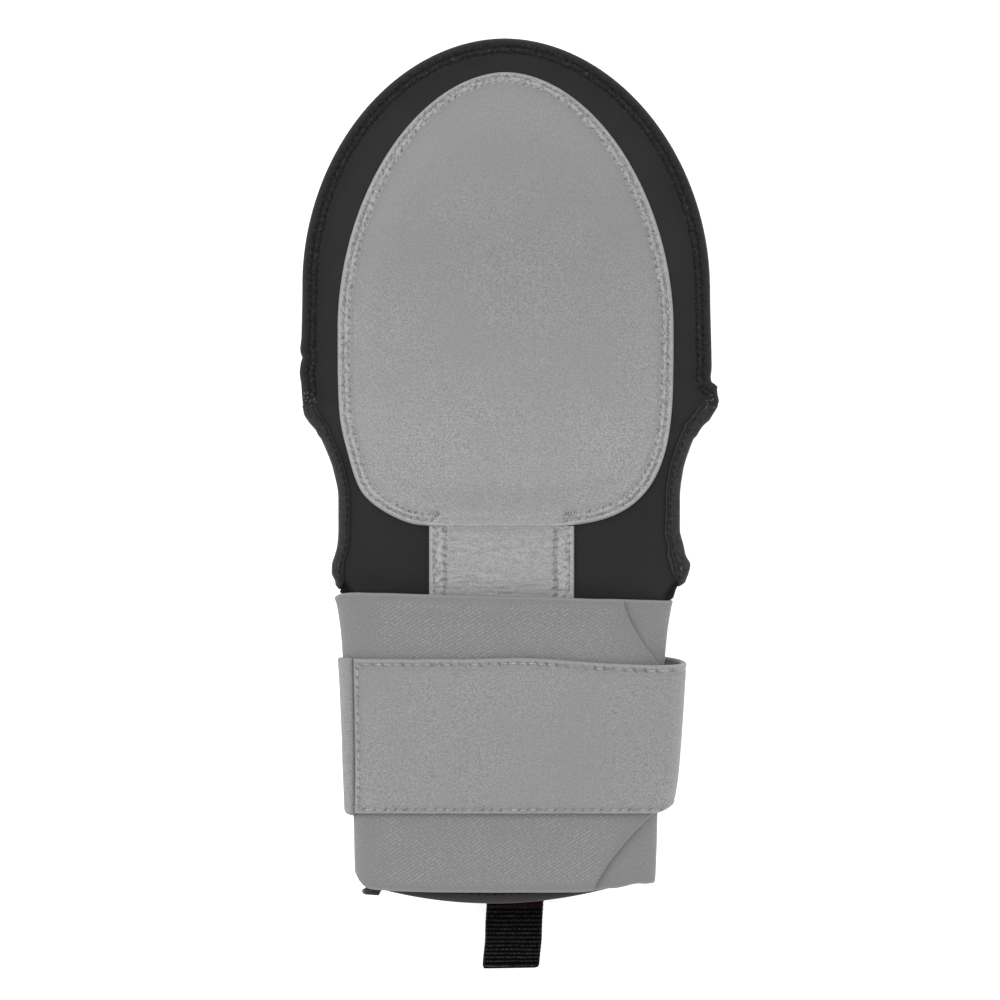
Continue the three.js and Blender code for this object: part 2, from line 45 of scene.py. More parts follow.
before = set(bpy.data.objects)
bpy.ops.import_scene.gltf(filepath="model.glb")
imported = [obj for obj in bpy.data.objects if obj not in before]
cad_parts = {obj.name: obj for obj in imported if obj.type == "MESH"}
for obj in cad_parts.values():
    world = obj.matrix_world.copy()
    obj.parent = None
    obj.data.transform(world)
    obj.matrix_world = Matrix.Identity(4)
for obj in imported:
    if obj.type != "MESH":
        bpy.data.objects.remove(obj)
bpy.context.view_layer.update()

# Worn stitches stray by noise vectors, whose offsets come from a seed. A fixed one makes every run give
# the same mitt.
noise.seed_set(5)

MM = 0.001
# Points nearer than this, in millimetres, are one point
WELD = 0.001
# Space between two pieces that are sewn together
GAP = 0.3

# Plan outline of the hand: half an oval from the widest line to the fingertips
TIP = {
    "centre_x": -1.15, "lean": -0.5, "centre_y": 76.5, "half_width": 71.5, "reach": 86.6, "power": 1.94,
}
# The seam round the fingertips lies at this height, between two flat lips of cloth
SEAM_HEIGHT = 7
LIP_WALL = 2.1
LIP_TOP = SEAM_HEIGHT + GAP / 2 + LIP_WALL
LIP_FOOT = SEAM_HEIGHT - GAP / 2 - LIP_WALL
# Height of the wrist's middle, how far the panels rise and sink from it there, and their walls
WRIST_HEIGHT = 15.3
WRIST_RISE = 9
WRIST_WALL = 2.4


def table(names, *rows):
    """Rows of named values, from high y to low y."""
    return [dict(zip(names.split(), row)) for row in rows]


# Inside of the elastic cuff
WRIST = table(
    "y left right rise",
    (-30, -58.6, 56.9, 12.2),
    (-36, -56.9, 55.2, 11.7),
    (-44, -55.7, 53.9, 10),
    (-54, -54.9, 52.9, 9.5),
    (-108, -51.2, 50.3, 9.5),
    (-128, -50.7, 49.8, 9.4),
    (-140, -49.6, 48.8, 9.2),
)
WRIST_SHAPE = {
    "top_power": 2.6, "top_round": 0.45, "floor": 9.5, "floor_power": 5, "floor_round": 0.35,
}

# Cut edges of the two panels, the flat sewn lip as a share of the half width, and how far in from an edge,
# as a share of the way across, the slope is taken that the cut is square to
OUTLINE = table(
    "y left right lip slope_from",
    (76.5, -72.65, 70.4, 0.095, 0.05),
    (44, -73.2, 71, 0.095, 0.05),
    (42.5, -73.1, 71, 0.095, 0.05),
    (41.5, -73, 72.5, 0.095, 0.05),
    (38, -72.8, 73.1, 0.095, 0.05),
    (36, -72.6, 73.5, 0.09, 0.05),
    (34.3, -72.4, 73, 0.085, 0.05),
    (32.7, -71.7, 71.7, 0.075, 0.05),
    (31, -70.6, 69.9, 0.065, 0.05),
    (29.2, -68.8, 68.1, 0.05, 0.05),
    (27.5, -67.3, 66, 0.04, 0.05),
    (25.7, -65.7, 64.6, 0.03, 0.05),
    (22.2, -64.1, 62.7, 0.01, 0.05),
    (18.7, -62.5, 61.3, 0, 0.05),
    (11.7, -60, 59.2, 0, 0.05),
    (2, -58.2, 58, 0, 0.05),
    (-9, -58.2, 58, 0, 0.05),
    (-14.5, -58.6, 59.3, 0, 0.05),
    (-18, -59.5, 60.1, 0, 0.05),
    (-21.5, -60.6, 61.8, 0, 0.05),
    (-24.5, -60.8, 61.3, 0, 0.03),
    (-27.5, -59.7, 60.3, 0, 0),
    (-28.9, -59.6, 60, 0, 0),
    (-30.2, -60.2, 59.3, 0, 0),
    (-31.6, -60.7, 58.9, 0, 0),
    (-32.6, -58.7, 58.6, 0, 0),
    (-33.5, -57.2, 58.3, 0, 0),
    (-34.2, -57, 56.5, 0, 0),
    (-35, -56.7, 55.2, 0, 0),
    *[
        (row["y"], max(row["left"], -57.6) + 2 * GAP, min(row["right"], 56.2) - 2 * GAP, 0, 0)
        for row in WRIST[1:]
    ],
)

# Sections across each panel: heights of the outer face at the edges and in the middle, and the walls there
SECTIONS = {
    "back": table(
        "y edge middle edge_wall wall power round",
        (44, LIP_TOP, 26, LIP_WALL, 7, 3, 1.2),
        (37, LIP_TOP, 26, LIP_WALL, 7, 3, 1.15),
        (29, 12, 26, 2, 6.8, 3, 1),
        (18.7, 15.6, 25.9, 2, 6.2, 2.7, 0.85),
        (2, 17.6, 25.4, 2, 4.6, 2.5, 0.8),
        (-11, 17.9, 24.8, 2, 3.2, 2.5, 0.7),
        (-17.5, 17.6, 24.5, 2, 2.8, 2.5, 0.65),
        (-22.5, 17, 24.4, 2.1, 2.6, 2.6, 0.6),
        (-26.5, 15.7, 24.4, 2.3, 2.5, 2.6, 0.5),
        (-30.9, WRIST_HEIGHT + GAP / 2, WRIST_HEIGHT + WRIST_RISE, WRIST_WALL, WRIST_WALL, 2.6, 0.45),
    ),
    "palm": table(
        "y edge middle edge_wall wall power round",
        (37, LIP_FOOT, 0, LIP_WALL, 6, 6, 1),
        (29, 4.1, 0, 2, 6, 6, 1),
        (18.7, 3.3, 0, 2, 5.6, 6, 0.95),
        (2, 3.9, 0.8, 2, 4.4, 5, 0.9),
        (-11, 6.4, 2.6, 2, 3.2, 5, 0.8),
        (-17.5, 8.6, 3.8, 2, 2.8, 5, 0.65),
        (-22.5, 12, 4.8, 2.1, 2.5, 5, 0.5),
        (-26.5, 15, 5.6, 2.3, 2.4, 5, 0.4),
        (-30.9, WRIST_HEIGHT - GAP / 2, WRIST_HEIGHT - WRIST_RISE, WRIST_WALL, WRIST_WALL, 5, 0.35),
    ),
}
# How much the palm's middle is pressed flat by the mitt's own weight
PRESSED = 0.2
# The panels end here, inside the cuff
PANEL_END = -46
RIM_ROUND = 1.9
RIM_ROWS = (3, 5)

# Tape round the thumb holes: how far it reaches up and down, how far past and inside the cut edge in plan,
# how it stands off the cloth, and the share of it that is its fold
TAPE = {
    "from": 34.5, "to_left": -30, "to_right": -29, "past": 1.75, "tuck": 1.4, "reach_left": 2.6,
    "reach_right": 3.6, "thick": 0.9, "clear": 0.75, "pinch": 0.12, "fold_from": 0.9, "fold": 0.45,
    "width": 13,
}

GUARD = {
    "centre_x": -1.35, "widest_y": 62, "half_width": 58.8, "tip_reach": 89.1, "heel_reach": 70.2,
    "tip_power": 1.875, "left_heel_power": 3.9, "right_heel_power": 3.7, "clear": 0.5, "margin": 4.8,
    "margin_spread": 1.15, "hem": 1.7, "pad": 5.2, "shoulder": 11, "end_y": -8,
}
# Distances of stitch rows from their edges, the strip's for its left and its right side
GUARD_ROWS = (2, 4)
STRIP_ROWS = ((1.9, 5.45), (1.8, 6.45))
STRAP_ROWS = (1.4,)
# Distance of the tape's stitch row from its edge
TAPE_ROW = 1.9
# Degrees by which the elastic's ribs are turned
TWILL_TURN = -58
STRIP = {"left": -28.1, "right": 22.6, "start": -7.75, "end": -38.5, "thick": 1.5}

# Small folds and bulges of an edge: how far each stands out, where along the edge it is, and how wide
FOLDS = {
    "left_rim": ((0.35, 54.5, 2), (-0.55, 51, 1), (0.4, 46, 2.4)),
    "right_rim": ((0.35, 40.9, 0.7), (-0.4, 44.5, 1.6)),
    "left_tape": ((0.4, -23.6, 4),),
    "right_tape": ((0.7, -15, 8), (1.9, -21.3, 4)),
    "heel_side": ((-0.9, 17, 9), (0.9, 1, 6)),
    "heel_foot": ((-0.75, 32, 7), (0.3, 47, 6)),
}

WRIST_HALF = 54
# Where along the wrist the ends of its layers are measured
MIDDLE_Y = -80
SLEEVE = {"start": -46.3, "clear": 0.6, "thick": 2.4, "hem_row": 3.2}
OPEN_END = {
    "y": -139.7, "centre_x": -6.3, "half_span": 41.5, "rise": 4.5, "corner_x": -48.2, "corner": 0.6,
    "drop": 2.5, "flare": 4.1,
}
# Layers round the wrist. "inner" is a layer's distance from the inside of the cuff
CUFF = {"inner": 0, "thick": 1.5}
CUFF_EDGES = {
    "top": -32.4, "top_slope": -0.028, "top_corner": 1, "foot": -135.7, "foot_rise": 1.1, "foot_corner": 5.2,
    "right_rise": 1.8,
}
WRAP = {
    "inner": 1.9, "thick": 1.5, "palm_end": -36, "top_corner": 38.3, "top_end": 53, "top_bend": 0.76,
    "foot_corner": 29.9, "foot_end": 52, "foot_bend": 0.75,
}
STRAP_TOP = -54.2
STRAP_FOOT = -108.2
STRAP = {
    "inner": 3.8, "thick": 1.9, "start": -50.2, "palm_end": -24, "stand_off": 3.5, "round_end": 14,
    "round_turn": 16, "lean": 2.4,
}
ANCHOR = {"inner": 3.8, "thick": 1.5, "stand_off": 1.3, "palm_inner": 1.9, "palm_end": 24}
LOOP = {
    "width": 20, "thick": 1.4, "x": 2.8, "lean": -2.3, "root": -127, "tip": -162.9, "root_height": 10.6,
    "tip_height": 5.4, "apart": 0.4, "fold": 0.93, "bulge": 1.5, "closed": 1.08, "tack_y": -140.7,
}
# The ends of the guard's two stitch rows, counted from the middle of its heel
GUARD_ROW_ENDS = ((23.5, 20.5), (20.5, 17))
# Bar tacks in plan: across the guard's heel, and over the ears of the panels
HEEL_TACKS = ((-26.3, -3.9), (21.6, -3.9))
EAR_TACKS = (((-71.5, 39.6), (-68.2, 34.4)), ((71.3, 37.6), (67.6, 30.6)))
# Stitches at the tapes' lower ends on the back: side, foot and top
TAPE_ENDS = (("left", -22.2, -20.6), ("right", -23.4, -22))
# Radians by which a stitch is turned across its row
TWIST = 0.07
# A sphere's poles, turned from z to x so that a stitch lies along its own length
LYING = Matrix.Rotation(math.radians(90), 4, "Y")
# How far a worn stitch strays aside and ahead, turns and shortens
WEAR = {"aside": 2.4, "ahead": 1.6, "turn": 3.5, "shorter": 0.85}

# Added to a place's distance from the edge, so that its finish draws no rim, no stitch holes, or a turned hem
NO_RIM = 30
NO_HOLES = 40
NO_STRAP_HOLES = 3.2
HEM_FROM = 200

# The camera's height counts from the top of the back, and its field is what it sees across there
CAMERA = {"aim": (-3.3, 1.2), "height": 3600, "back": 14, "field": 350, "sensor": 36}
# Places and widths of the lights in metres, and their power in watts
SOFTBOXES = {
    "key_softbox": {"place": (-0.9, 0.8, 1.5), "size": 1.2, "energy": 11.5},
    "fill_softbox": {"place": (1.2, 0.1, 1.4), "size": 1.4, "energy": 5},
    "back_softbox": {"place": (0.1, -1.5, 1.2), "size": 1.2, "energy": 3},
}
AIR_LIGHT = 0.72
FLOOR_SIZE = 6
FLOOR_GLOW = 0.66


def linear(colour):
    """An sRGB hex colour as linear red, green and blue."""
    parts = [int(colour[i : i + 2], 16) / 255 for i in (1, 3, 5)]
    return tuple(c / 12.92 if c <= 0.04045 else ((c + 0.055) / 1.055) ** 2.4 for c in parts)


def size_choice(name, description, default, least):
    """A length that a user may change, given in millimetres."""
    return FloatProperty(
        name=name, description=description, default=default * MM, min=least * MM,
        subtype="DISTANCE", unit="LENGTH", precision=5)


def colour_choice(name, description, default):
    """A colour that a user may change, given as sRGB hex."""
    return FloatVectorProperty(
        name=name, description=description, default=linear(default), min=0, max=1, size=3, subtype="COLOR")


class MittSizes(bpy.types.PropertyGroup):
    """Sizes of the stitching, the weaves and the grain."""

    guard_pitch: size_choice(
        "Guard Stitch", "Length of a stitch and its gap on the guard and the panels", 2.8, 1)
    strap_pitch: size_choice("Strap Stitch", "Length of a stitch and its gap on the strap", 3.2, 1)
    thread: size_choice("Thread", "Thickness of the sewing thread", 0.6, 0.2)
    groove: size_choice("Groove", "How deep a stitch row sinks into the leather", 0.38, 0)
    grain: size_choice("Leather Grain", "Width of a pebble of the leather's grain", 0.6, 0.2)
    twill: size_choice("Twill", "Distance between the diagonal ribs of the elastic", 1.1, 0.3)
    knit: size_choice("Knit", "Distance between the loops of the black cloth", 0.7, 0.3)
    rib: size_choice("Webbing Rib", "Distance between the cross ribs of the webbing", 1.5, 0.5)


class MittColours(bpy.types.PropertyGroup):
    """Colours of the cloth, the leather and the thread."""

    cloth: colour_choice("Cloth", "Black stretch cloth of the panels", "#262626")
    tape: colour_choice("Tape", "Tape round the thumb holes", "#2f2d2e")
    guard: colour_choice("Guard", "Leather of the guard and its strip", "#9c9c9c")
    strap: colour_choice("Strap", "Leather of the strap", "#909090")
    elastic: colour_choice("Elastic", "Elastic of the cuff and the wrap", "#848484")
    webbing: colour_choice("Webbing", "Webbing of the pull loop", "#050506")
    light_thread: colour_choice("Grey Thread", "Thread on the leather", "#a2a2a2")
    dark_thread: colour_choice("Black Thread", "Thread on the black cloth", "#1c1c1c")
    worn_thread: colour_choice("Worn Thread", "Thread of the bar tacks on the black cloth", "#585858")
    tack_thread: colour_choice("Tack Thread", "Thread of the tack across the pull loop", "#2c0410")
    floor: colour_choice("Floor", "Pale floor under the mitt", "#fafafa")


def clamp(value, low=0.0, high=1.0):
    return max(low, min(high, value))


def lerp(start, end, share):
    return start + (end - start) * share


def smoothstep(value, low, high):
    share = clamp((value - low) / (high - low))
    return share * share * (3 - 2 * share)


def hump(value, centre, width):
    """A smooth rise of 1 at the centre."""
    return math.exp(-(((value - centre) / width) ** 2))


def rounded(distance, radius):
    """Quarter round, from 0 at an edge to 1 at the radius."""
    return math.sqrt(max(0.0, 1 - (1 - clamp(distance / radius)) ** 2))


def evenly(start, end, steps):
    return [lerp(start, end, i / steps) for i in range(steps + 1)]


def near_ends(low, high, close, inset, steps):
    """Places from low to high: close to both ends at these distances, and evenly past the inset."""
    middle = evenly(low + inset, high - inset, steps)
    return [low + c for c in close] + middle + [high - c for c in close[::-1]]


def lengths_along(places):
    """Length along a path at each of its places."""
    lengths = [0.0]
    for before, after in zip(places, places[1:]):
        lengths.append(lengths[-1] + (after - before).length)
    return lengths


def uneven(x, y, size, seed=0.0):
    """Smooth unevenness from -1 to 1, with lumps of that size in millimetres."""
    return noise.noise(Vector((x / size, y / size, seed)))


def column_at(rows, name, y):
    """Value of one column of a table at y, smooth and without overshoot."""
    last = len(rows) - 1
    if y >= rows[0]["y"]:
        return rows[0][name]
    if y <= rows[last]["y"]:
        return rows[last][name]

    def slope(i):
        return (rows[i + 1][name] - rows[i][name]) / (rows[i + 1]["y"] - rows[i]["y"])

    def tangent(i):
        if i in (0, last):
            return 0
        before, after = slope(i - 1), slope(i)
        return 2 * before * after / (before + after) if before * after > 0 else 0

    i = next(k for k in range(last) if y >= rows[k + 1]["y"])
    step = rows[i + 1]["y"] - rows[i]["y"]
    t = (y - rows[i]["y"]) / step
    ease = t * t * (3 - 2 * t)
    return (
        lerp(rows[i][name], rows[i + 1][name], ease)
        + step * tangent(i) * t * (1 - t) ** 2
        - step * tangent(i + 1) * t * t * (1 - t)
    )


def oval_share(reached, power):
    return max(0.0, 1 - abs(reached) ** power) ** (1 / power)


def dome(share, power, shape):
    return max(0.0, 1 - min(1.0, share) ** power) ** shape


def folds(name, place):
    """How far the folds of an edge stand out at a place along it."""
    return sum(far * hump(place, centre, width) for far, centre, width in FOLDS[name])


@lru_cache(maxsize=None)
def section_at(panel, y):
    """Outline and section of a panel at y, with the oval of the fingertips above the widest line."""
    section = {name: column_at(OUTLINE, name, y) for name in OUTLINE[0]}
    section.update({name: column_at(SECTIONS[panel], name, y) for name in SECTIONS[panel][0]})
    forward = clamp((y - TIP["centre_y"]) / TIP["reach"])
    section["forward"] = forward
    if forward > 0:
        half = TIP["half_width"] * oval_share(forward, TIP["power"])
        centre = TIP["centre_x"] + TIP["lean"] * forward
        section["left"] = centre - half
        section["right"] = centre + half
    else:
        section["left"] -= folds("left_rim", y)
        section["right"] += folds("right_rim", y)
    return section


def panel_face(panel, y, across):
    """x, z and wall of a panel's outer face. across runs from 0 at the left to 1."""
    section = section_at(panel, y)
    cosine = -math.cos(math.pi * across)
    middle = (section["left"] + section["right"]) / 2
    half = (section["right"] - section["left"]) / 2
    forward = section["forward"] ** 2
    outward = math.sqrt(cosine**2 * (1 - forward) + forward)
    share = outward / (1 - section["lip"])
    rise = dome(share, section["power"], section["round"])
    if panel == "palm":
        z = max(lerp(section["edge"], section["middle"] - PRESSED, rise), section["middle"])
    else:
        z = lerp(section["edge"], section["middle"], rise)
    return middle + half * cosine, z, lerp(section["edge_wall"], section["wall"], dome(share, 4, 1))


def panel_normal(panel, y, across):
    """Unit vectors out of a panel and along it, in its section."""
    slope_from = section_at(panel, y)["slope_from"]
    at = clamp(across, slope_from, 1 - slope_from)
    nudge = 0.004
    before = panel_face(panel, y, max(0, at - nudge))
    after = panel_face(panel, y, min(1, at + nudge))
    along = Vector((after[0] - before[0], after[1] - before[1]))
    along = along.normalized() if along.length > 1e-9 else Vector((1, 0))
    side = -1 if panel == "palm" else 1
    return Vector((-along.y * side, along.x * side)), along


def panel_point(panel, y, across, depth, overhang=0.0):
    """Point at a depth out from a panel's outer face and at an overhang to the right."""
    x, z, _ = panel_face(panel, y, across)
    normal, along = panel_normal(panel, y, across)
    return Vector((x + normal.x * depth + along.x * overhang, y, z + normal.y * depth + along.y * overhang))


def across_at(panel, x, y):
    section = section_at(panel, y)
    middle = (section["left"] + section["right"]) / 2
    half = max(1e-6, (section["right"] - section["left"]) / 2)
    return math.acos(clamp((middle - x) / half, -1, 1)) / math.pi


def back_height(x, y):
    y = round(y, 2)
    return panel_face("back", y, across_at("back", x, y))[1]


def tip_y(degrees):
    return TIP["centre_y"] + TIP["reach"] * math.sin(math.radians(degrees))


class PlanLine:
    """A line in plan. It tells how far a point is from it, and how far along it that is."""

    def __init__(self, points, closed=False):
        self.points = [Vector(p) for p in points]
        self.closed = closed
        ring = self.points + self.points[:1] if closed else self.points
        self.along = lengths_along(ring)
        self.length = self.along[-1]
        self.ring = ring
        self.tree = KDTree(len(self.points))
        for i, p in enumerate(self.points):
            self.tree.insert((p.x, p.y, 0), i)
        self.tree.balance()

    def near(self, x, y):
        """Distance from the line, and the length along it, of the nearest place."""
        _, i, _ = self.tree.find((x, y, 0))
        here, best = Vector((x, y)), (1e9, 0.0)
        for k in (i - 1, i):
            k = k % len(self.points) if self.closed else k
            if not 0 <= k < len(self.ring) - 1:
                continue
            start, step = self.ring[k], self.ring[k + 1] - self.ring[k]
            share = clamp((here - start).dot(step) / max(step.length_squared, 1e-12))
            best = min(best, ((here - start - step * share).length, self.along[k] + share * step.length))
        return best

    def place(self, length):
        length = length % self.length if self.closed else clamp(length, 0, self.length)
        k = min(bisect_right(self.along, length) - 1, len(self.along) - 2)
        step = self.ring[k + 1] - self.ring[k]
        return self.ring[k] + step * ((length - self.along[k]) / max(step.length, 1e-9))

    def inward(self, length, reach=1.2):
        """Unit vector to the right of the line, which is the inner side of a line that runs clockwise."""
        tangent = (self.place(length + reach) - self.place(length - reach)).normalized()
        return Vector((tangent.y, -tangent.x))

    def inset(self, length, distance):
        return self.place(length) + self.inward(length) * distance


@lru_cache(maxsize=None)
def rim_line():
    """The panels' sewn edge, from the left side of the wrist round the fingertips to the right side."""
    side = evenly(PANEL_END, TIP["centre_y"], 300)[:-1]
    tip = [tip_y(degrees) for degrees in evenly(0, 90, 220)]
    left = [(section_at("back", y)["left"], y) for y in side + tip]
    right = [(section_at("back", y)["right"], y) for y in side + tip[:-1]]
    return PlanLine(left + right[::-1])


@lru_cache(maxsize=None)
def guard_line():
    """The guard's edge, clockwise from the middle of its heel."""
    def heel(power, degrees):
        across = math.cos(math.radians(degrees)) ** (2 / power)
        down = math.sin(math.radians(degrees)) ** (2 / power)
        y = GUARD["widest_y"] - GUARD["heel_reach"] * down
        return across * GUARD["half_width"], max(GUARD["end_y"], y)

    left = [heel(GUARD["left_heel_power"], d) for d in evenly(90, 0, 240)]
    right = [heel(GUARD["right_heel_power"], d) for d in evenly(90, 0, 240)]
    tip = []
    for degrees in evenly(0, 180, 480):
        up = math.sin(math.radians(degrees))
        half = GUARD["half_width"] * oval_share(up, GUARD["tip_power"])
        tip.append((-half if degrees < 90 else half, GUARD["widest_y"] + GUARD["tip_reach"] * up))
    # The left heel is cut with a straighter side and a tighter corner than an oval
    left = [(x + folds("heel_side", y), max(GUARD["end_y"], y + folds("heel_foot", x))) for x, y in left]
    points = [(-x, y) for x, y in left] + tip[1:-1] + right[::-1]
    thinned = [points[0]]
    for x, y in points[1:]:
        if math.hypot(x - thinned[-1][0], y - thinned[-1][1]) > 0.15:
            thinned.append((x, y))
    return PlanLine([(GUARD["centre_x"] + x, y) for x, y in thinned], closed=True)


def guard_pad(x, y):
    """Padding of the guard: thin under the stitched margin, then rising over a shoulder."""
    if y > GUARD["widest_y"]:
        reach, power = GUARD["tip_reach"], GUARD["tip_power"]
    else:
        reach = GUARD["heel_reach"]
        power = GUARD["left_heel_power"] if x < GUARD["centre_x"] else GUARD["right_heel_power"]
    across = abs(x - GUARD["centre_x"]) / GUARD["half_width"]
    along = abs(y - GUARD["widest_y"]) / reach
    radius = (across**power + along**power) ** (1 / power)
    from_edge = (1 - radius) * min(reach, GUARD["half_width"] * GUARD["margin_spread"])
    share = smoothstep(from_edge, GUARD["margin"], GUARD["margin"] + GUARD["shoulder"])
    return lerp(GUARD["hem"], GUARD["pad"], share)


@lru_cache(maxsize=None)
def wrist_row(twentieths):
    return tuple(column_at(WRIST, name, twentieths / 20) for name in ("left", "right", "rise"))


def wrist_point(y, turn):
    """Point on the inside of the cuff and its outward direction. turn is an angle in degrees: 0 is the
    right edge, 90 the back, 180 the left edge and 270 the palm."""
    left, right, rise = wrist_row(round(y * 20))

    def at(degrees):
        angle = math.radians(degrees)
        share = abs(math.cos(angle))
        if math.sin(angle) >= 0:
            up = rise * dome(share, WRIST_SHAPE["top_power"], WRIST_SHAPE["top_round"])
        else:
            up = -WRIST_SHAPE["floor"] * dome(share, WRIST_SHAPE["floor_power"], WRIST_SHAPE["floor_round"])
        return Vector((lerp(left, right, (1 + math.cos(angle)) / 2), WRIST_HEIGHT + up))

    along = (at(turn + 0.8) - at(turn - 0.8)).normalized()
    return at(turn), Vector((along.y, -along.x))


def band_point(y, turn, distance):
    place, outward = wrist_point(y, turn)
    return Vector((place.x + outward.x * distance, y, max(0.0, place.y + outward.y * distance)))


def turn_at_x(y, x, side):
    left, right = column_at(WRIST, "left", y), column_at(WRIST, "right", y)
    degrees = math.degrees(math.acos(clamp((x - left) / (right - left) * 2 - 1, -1, 1)))
    return degrees if side == "back" else 360 - degrees


def wrist_x(turn):
    return WRIST_HALF * math.cos(math.radians(turn))


@lru_cache(maxsize=None)
def girth_line():
    """Length round the cuff for each half degree, from the right edge over the back."""
    return lengths_along([wrist_point(MIDDLE_Y, turn)[0] for turn in evenly(0, 360, 720)])


def girth_at(turn):
    girth = girth_line()
    whole, part = divmod(turn, 360)
    i = min(719, int(part * 2))
    return whole * girth[-1] + lerp(girth[i], girth[i + 1], part * 2 - i)


def turn_at_girth(length):
    girth = girth_line()
    whole, rest = divmod(length, girth[-1])
    i = min(719, bisect_right(girth, rest) - 1)
    return 360 * whole + (i + (rest - girth[i]) / (girth[i + 1] - girth[i])) / 2


def turns_between(start, end, spacing):
    """Turns at an even spacing in millimetres round the wrist."""
    first, last = girth_at(start), girth_at(end)
    steps = max(2, round(abs(last - first) / spacing))
    return [start, *[turn_at_girth(g) for g in evenly(first, last, steps)[1:-1]], end]


def cuff_top(turn):
    x = wrist_x(turn)
    wave = 0.22 * uneven(x, 40 * math.sin(math.radians(turn)), 16, 3)
    from_left = WRIST_HALF + x
    corner = clamp(1 - from_left / 7) ** 2 + 0.7 * clamp(1 - from_left / 1.5) ** 2
    return CUFF_EDGES["top"] + CUFF_EDGES["top_slope"] * x - CUFF_EDGES["top_corner"] * corner + wave


def cuff_foot(turn):
    x = wrist_x(turn)
    rise = CUFF_EDGES["foot_rise"] * (x / WRIST_HALF) ** 4
    rise += CUFF_EDGES["foot_corner"] * math.exp(-(WRIST_HALF + x) / 0.85)
    wave = 0.35 * math.sin(x / 2.4) * smoothstep(x, 34, 40) * (1 - smoothstep(x, 49, 52))
    return CUFF_EDGES["foot"] + rise + CUFF_EDGES["right_rise"] * smoothstep(x, 25, 48) + wave


def open_end(turn):
    """The sleeve's open end, with a small corner on the palm side at the left."""
    x = wrist_x(turn)
    past = OPEN_END["corner_x"] - x
    corner = (OPEN_END["drop"] + 0.12 * past) * smoothstep(past, 0, OPEN_END["corner"]) if turn > 180 else 0
    bow = OPEN_END["rise"] * ((x - OPEN_END["centre_x"]) / OPEN_END["half_span"]) ** 2
    return OPEN_END["y"] + bow - corner


def towards(y, turn, start, end, bend):
    """How far the wrap's cut edge has gone from its corner to the strap, seen from above."""
    x = band_point(y, turn, WRAP["inner"] + WRAP["thick"]).x
    return clamp((x - start) / (end - start), 0, 1.3) ** bend


def wrap_top(turn):
    share = towards(-45, turn, WRAP["top_corner"], WRAP["top_end"], WRAP["top_bend"])
    return lerp(cuff_top(turn), STRAP_TOP - 1.5, share)


def wrap_foot(turn):
    share = towards(-125, turn, WRAP["foot_corner"], WRAP["foot_end"], WRAP["foot_bend"])
    return lerp(cuff_foot(turn), STRAP_FOOT + 1.5, share)


@lru_cache(maxsize=None)
def wrap_end():
    return turn_at_x(MIDDLE_Y, WRAP["palm_end"], "palm")


@lru_cache(maxsize=None)
def strap_ends():
    return turn_at_x(MIDDLE_Y, STRAP["start"], "back"), turn_at_x(MIDDLE_Y, STRAP["palm_end"], "palm") - 360


def leaned(turn, y):
    """The turn at which a place near the strap's left end lies, because that end leans across the wrist."""
    start, _ = strap_ends()
    near = smoothstep(turn, start - 70, start) * (1 - smoothstep(turn, start + 5, start + 40))
    if near == 0:
        return turn
    down = clamp((STRAP_TOP - y) / (STRAP_TOP - STRAP_FOOT))
    return turn_at_girth(girth_at(turn) + STRAP["lean"] * down * near)


def strap_round(turn):
    """The rounded end of the strap's tab."""
    left = clamp((turn - strap_ends()[1]) / STRAP["round_turn"])
    return STRAP["round_end"] * (1 - math.sqrt(1 - (1 - left) ** 2 * 0.98))


def strap_top(turn):
    """The strap's upper edge dips to the right on the back, and is higher where it comes round on the
    palm."""
    x = wrist_x(turn) if turn > 0 else WRIST_HALF
    back = STRAP_TOP + 0.4 * hump(x, 3.7, 12) - 2.1 * smoothstep(x, 8, 50)
    palm = STRAP_TOP + 0.9
    return lerp(palm, back, smoothstep(turn, -28, 14)) - strap_round(turn) + 0.12 * uneven(x, 0, 9, 5)


def strap_foot(turn):
    x = wrist_x(turn)
    turned = 3.3 * smoothstep(17 - turn, 0, 20) * smoothstep(turn, -60, -10)
    return STRAP_FOOT + strap_round(turn) + turned + 0.12 * uneven(x, 0, 9, 7)


def strap_inner(turn, y):
    share = smoothstep(turn, -58, -6) * (1 - smoothstep(turn, 2, 46))
    down = clamp((STRAP_TOP - y) / (STRAP_TOP - STRAP_FOOT))
    return STRAP["inner"] + STRAP["stand_off"] * share * math.sqrt(1 - down**3)


@lru_cache(maxsize=None)
def anchor_ends():
    return strap_ends()[0], turn_at_x(MIDDLE_Y, ANCHOR["palm_end"], "palm")


def anchor_inner(turn, y):
    start, _ = anchor_ends()
    on_palm = smoothstep(turn, wrap_end() + 1, wrap_end() + 12)
    tight = smoothstep(y, STRAP_FOOT, STRAP_TOP) * (1 - smoothstep(turn, 200, 230))
    loose = ANCHOR["stand_off"] * (1 - tight) * smoothstep(turn, start, start + 12)
    return lerp(ANCHOR["inner"] + loose, ANCHOR["palm_inner"], on_palm)


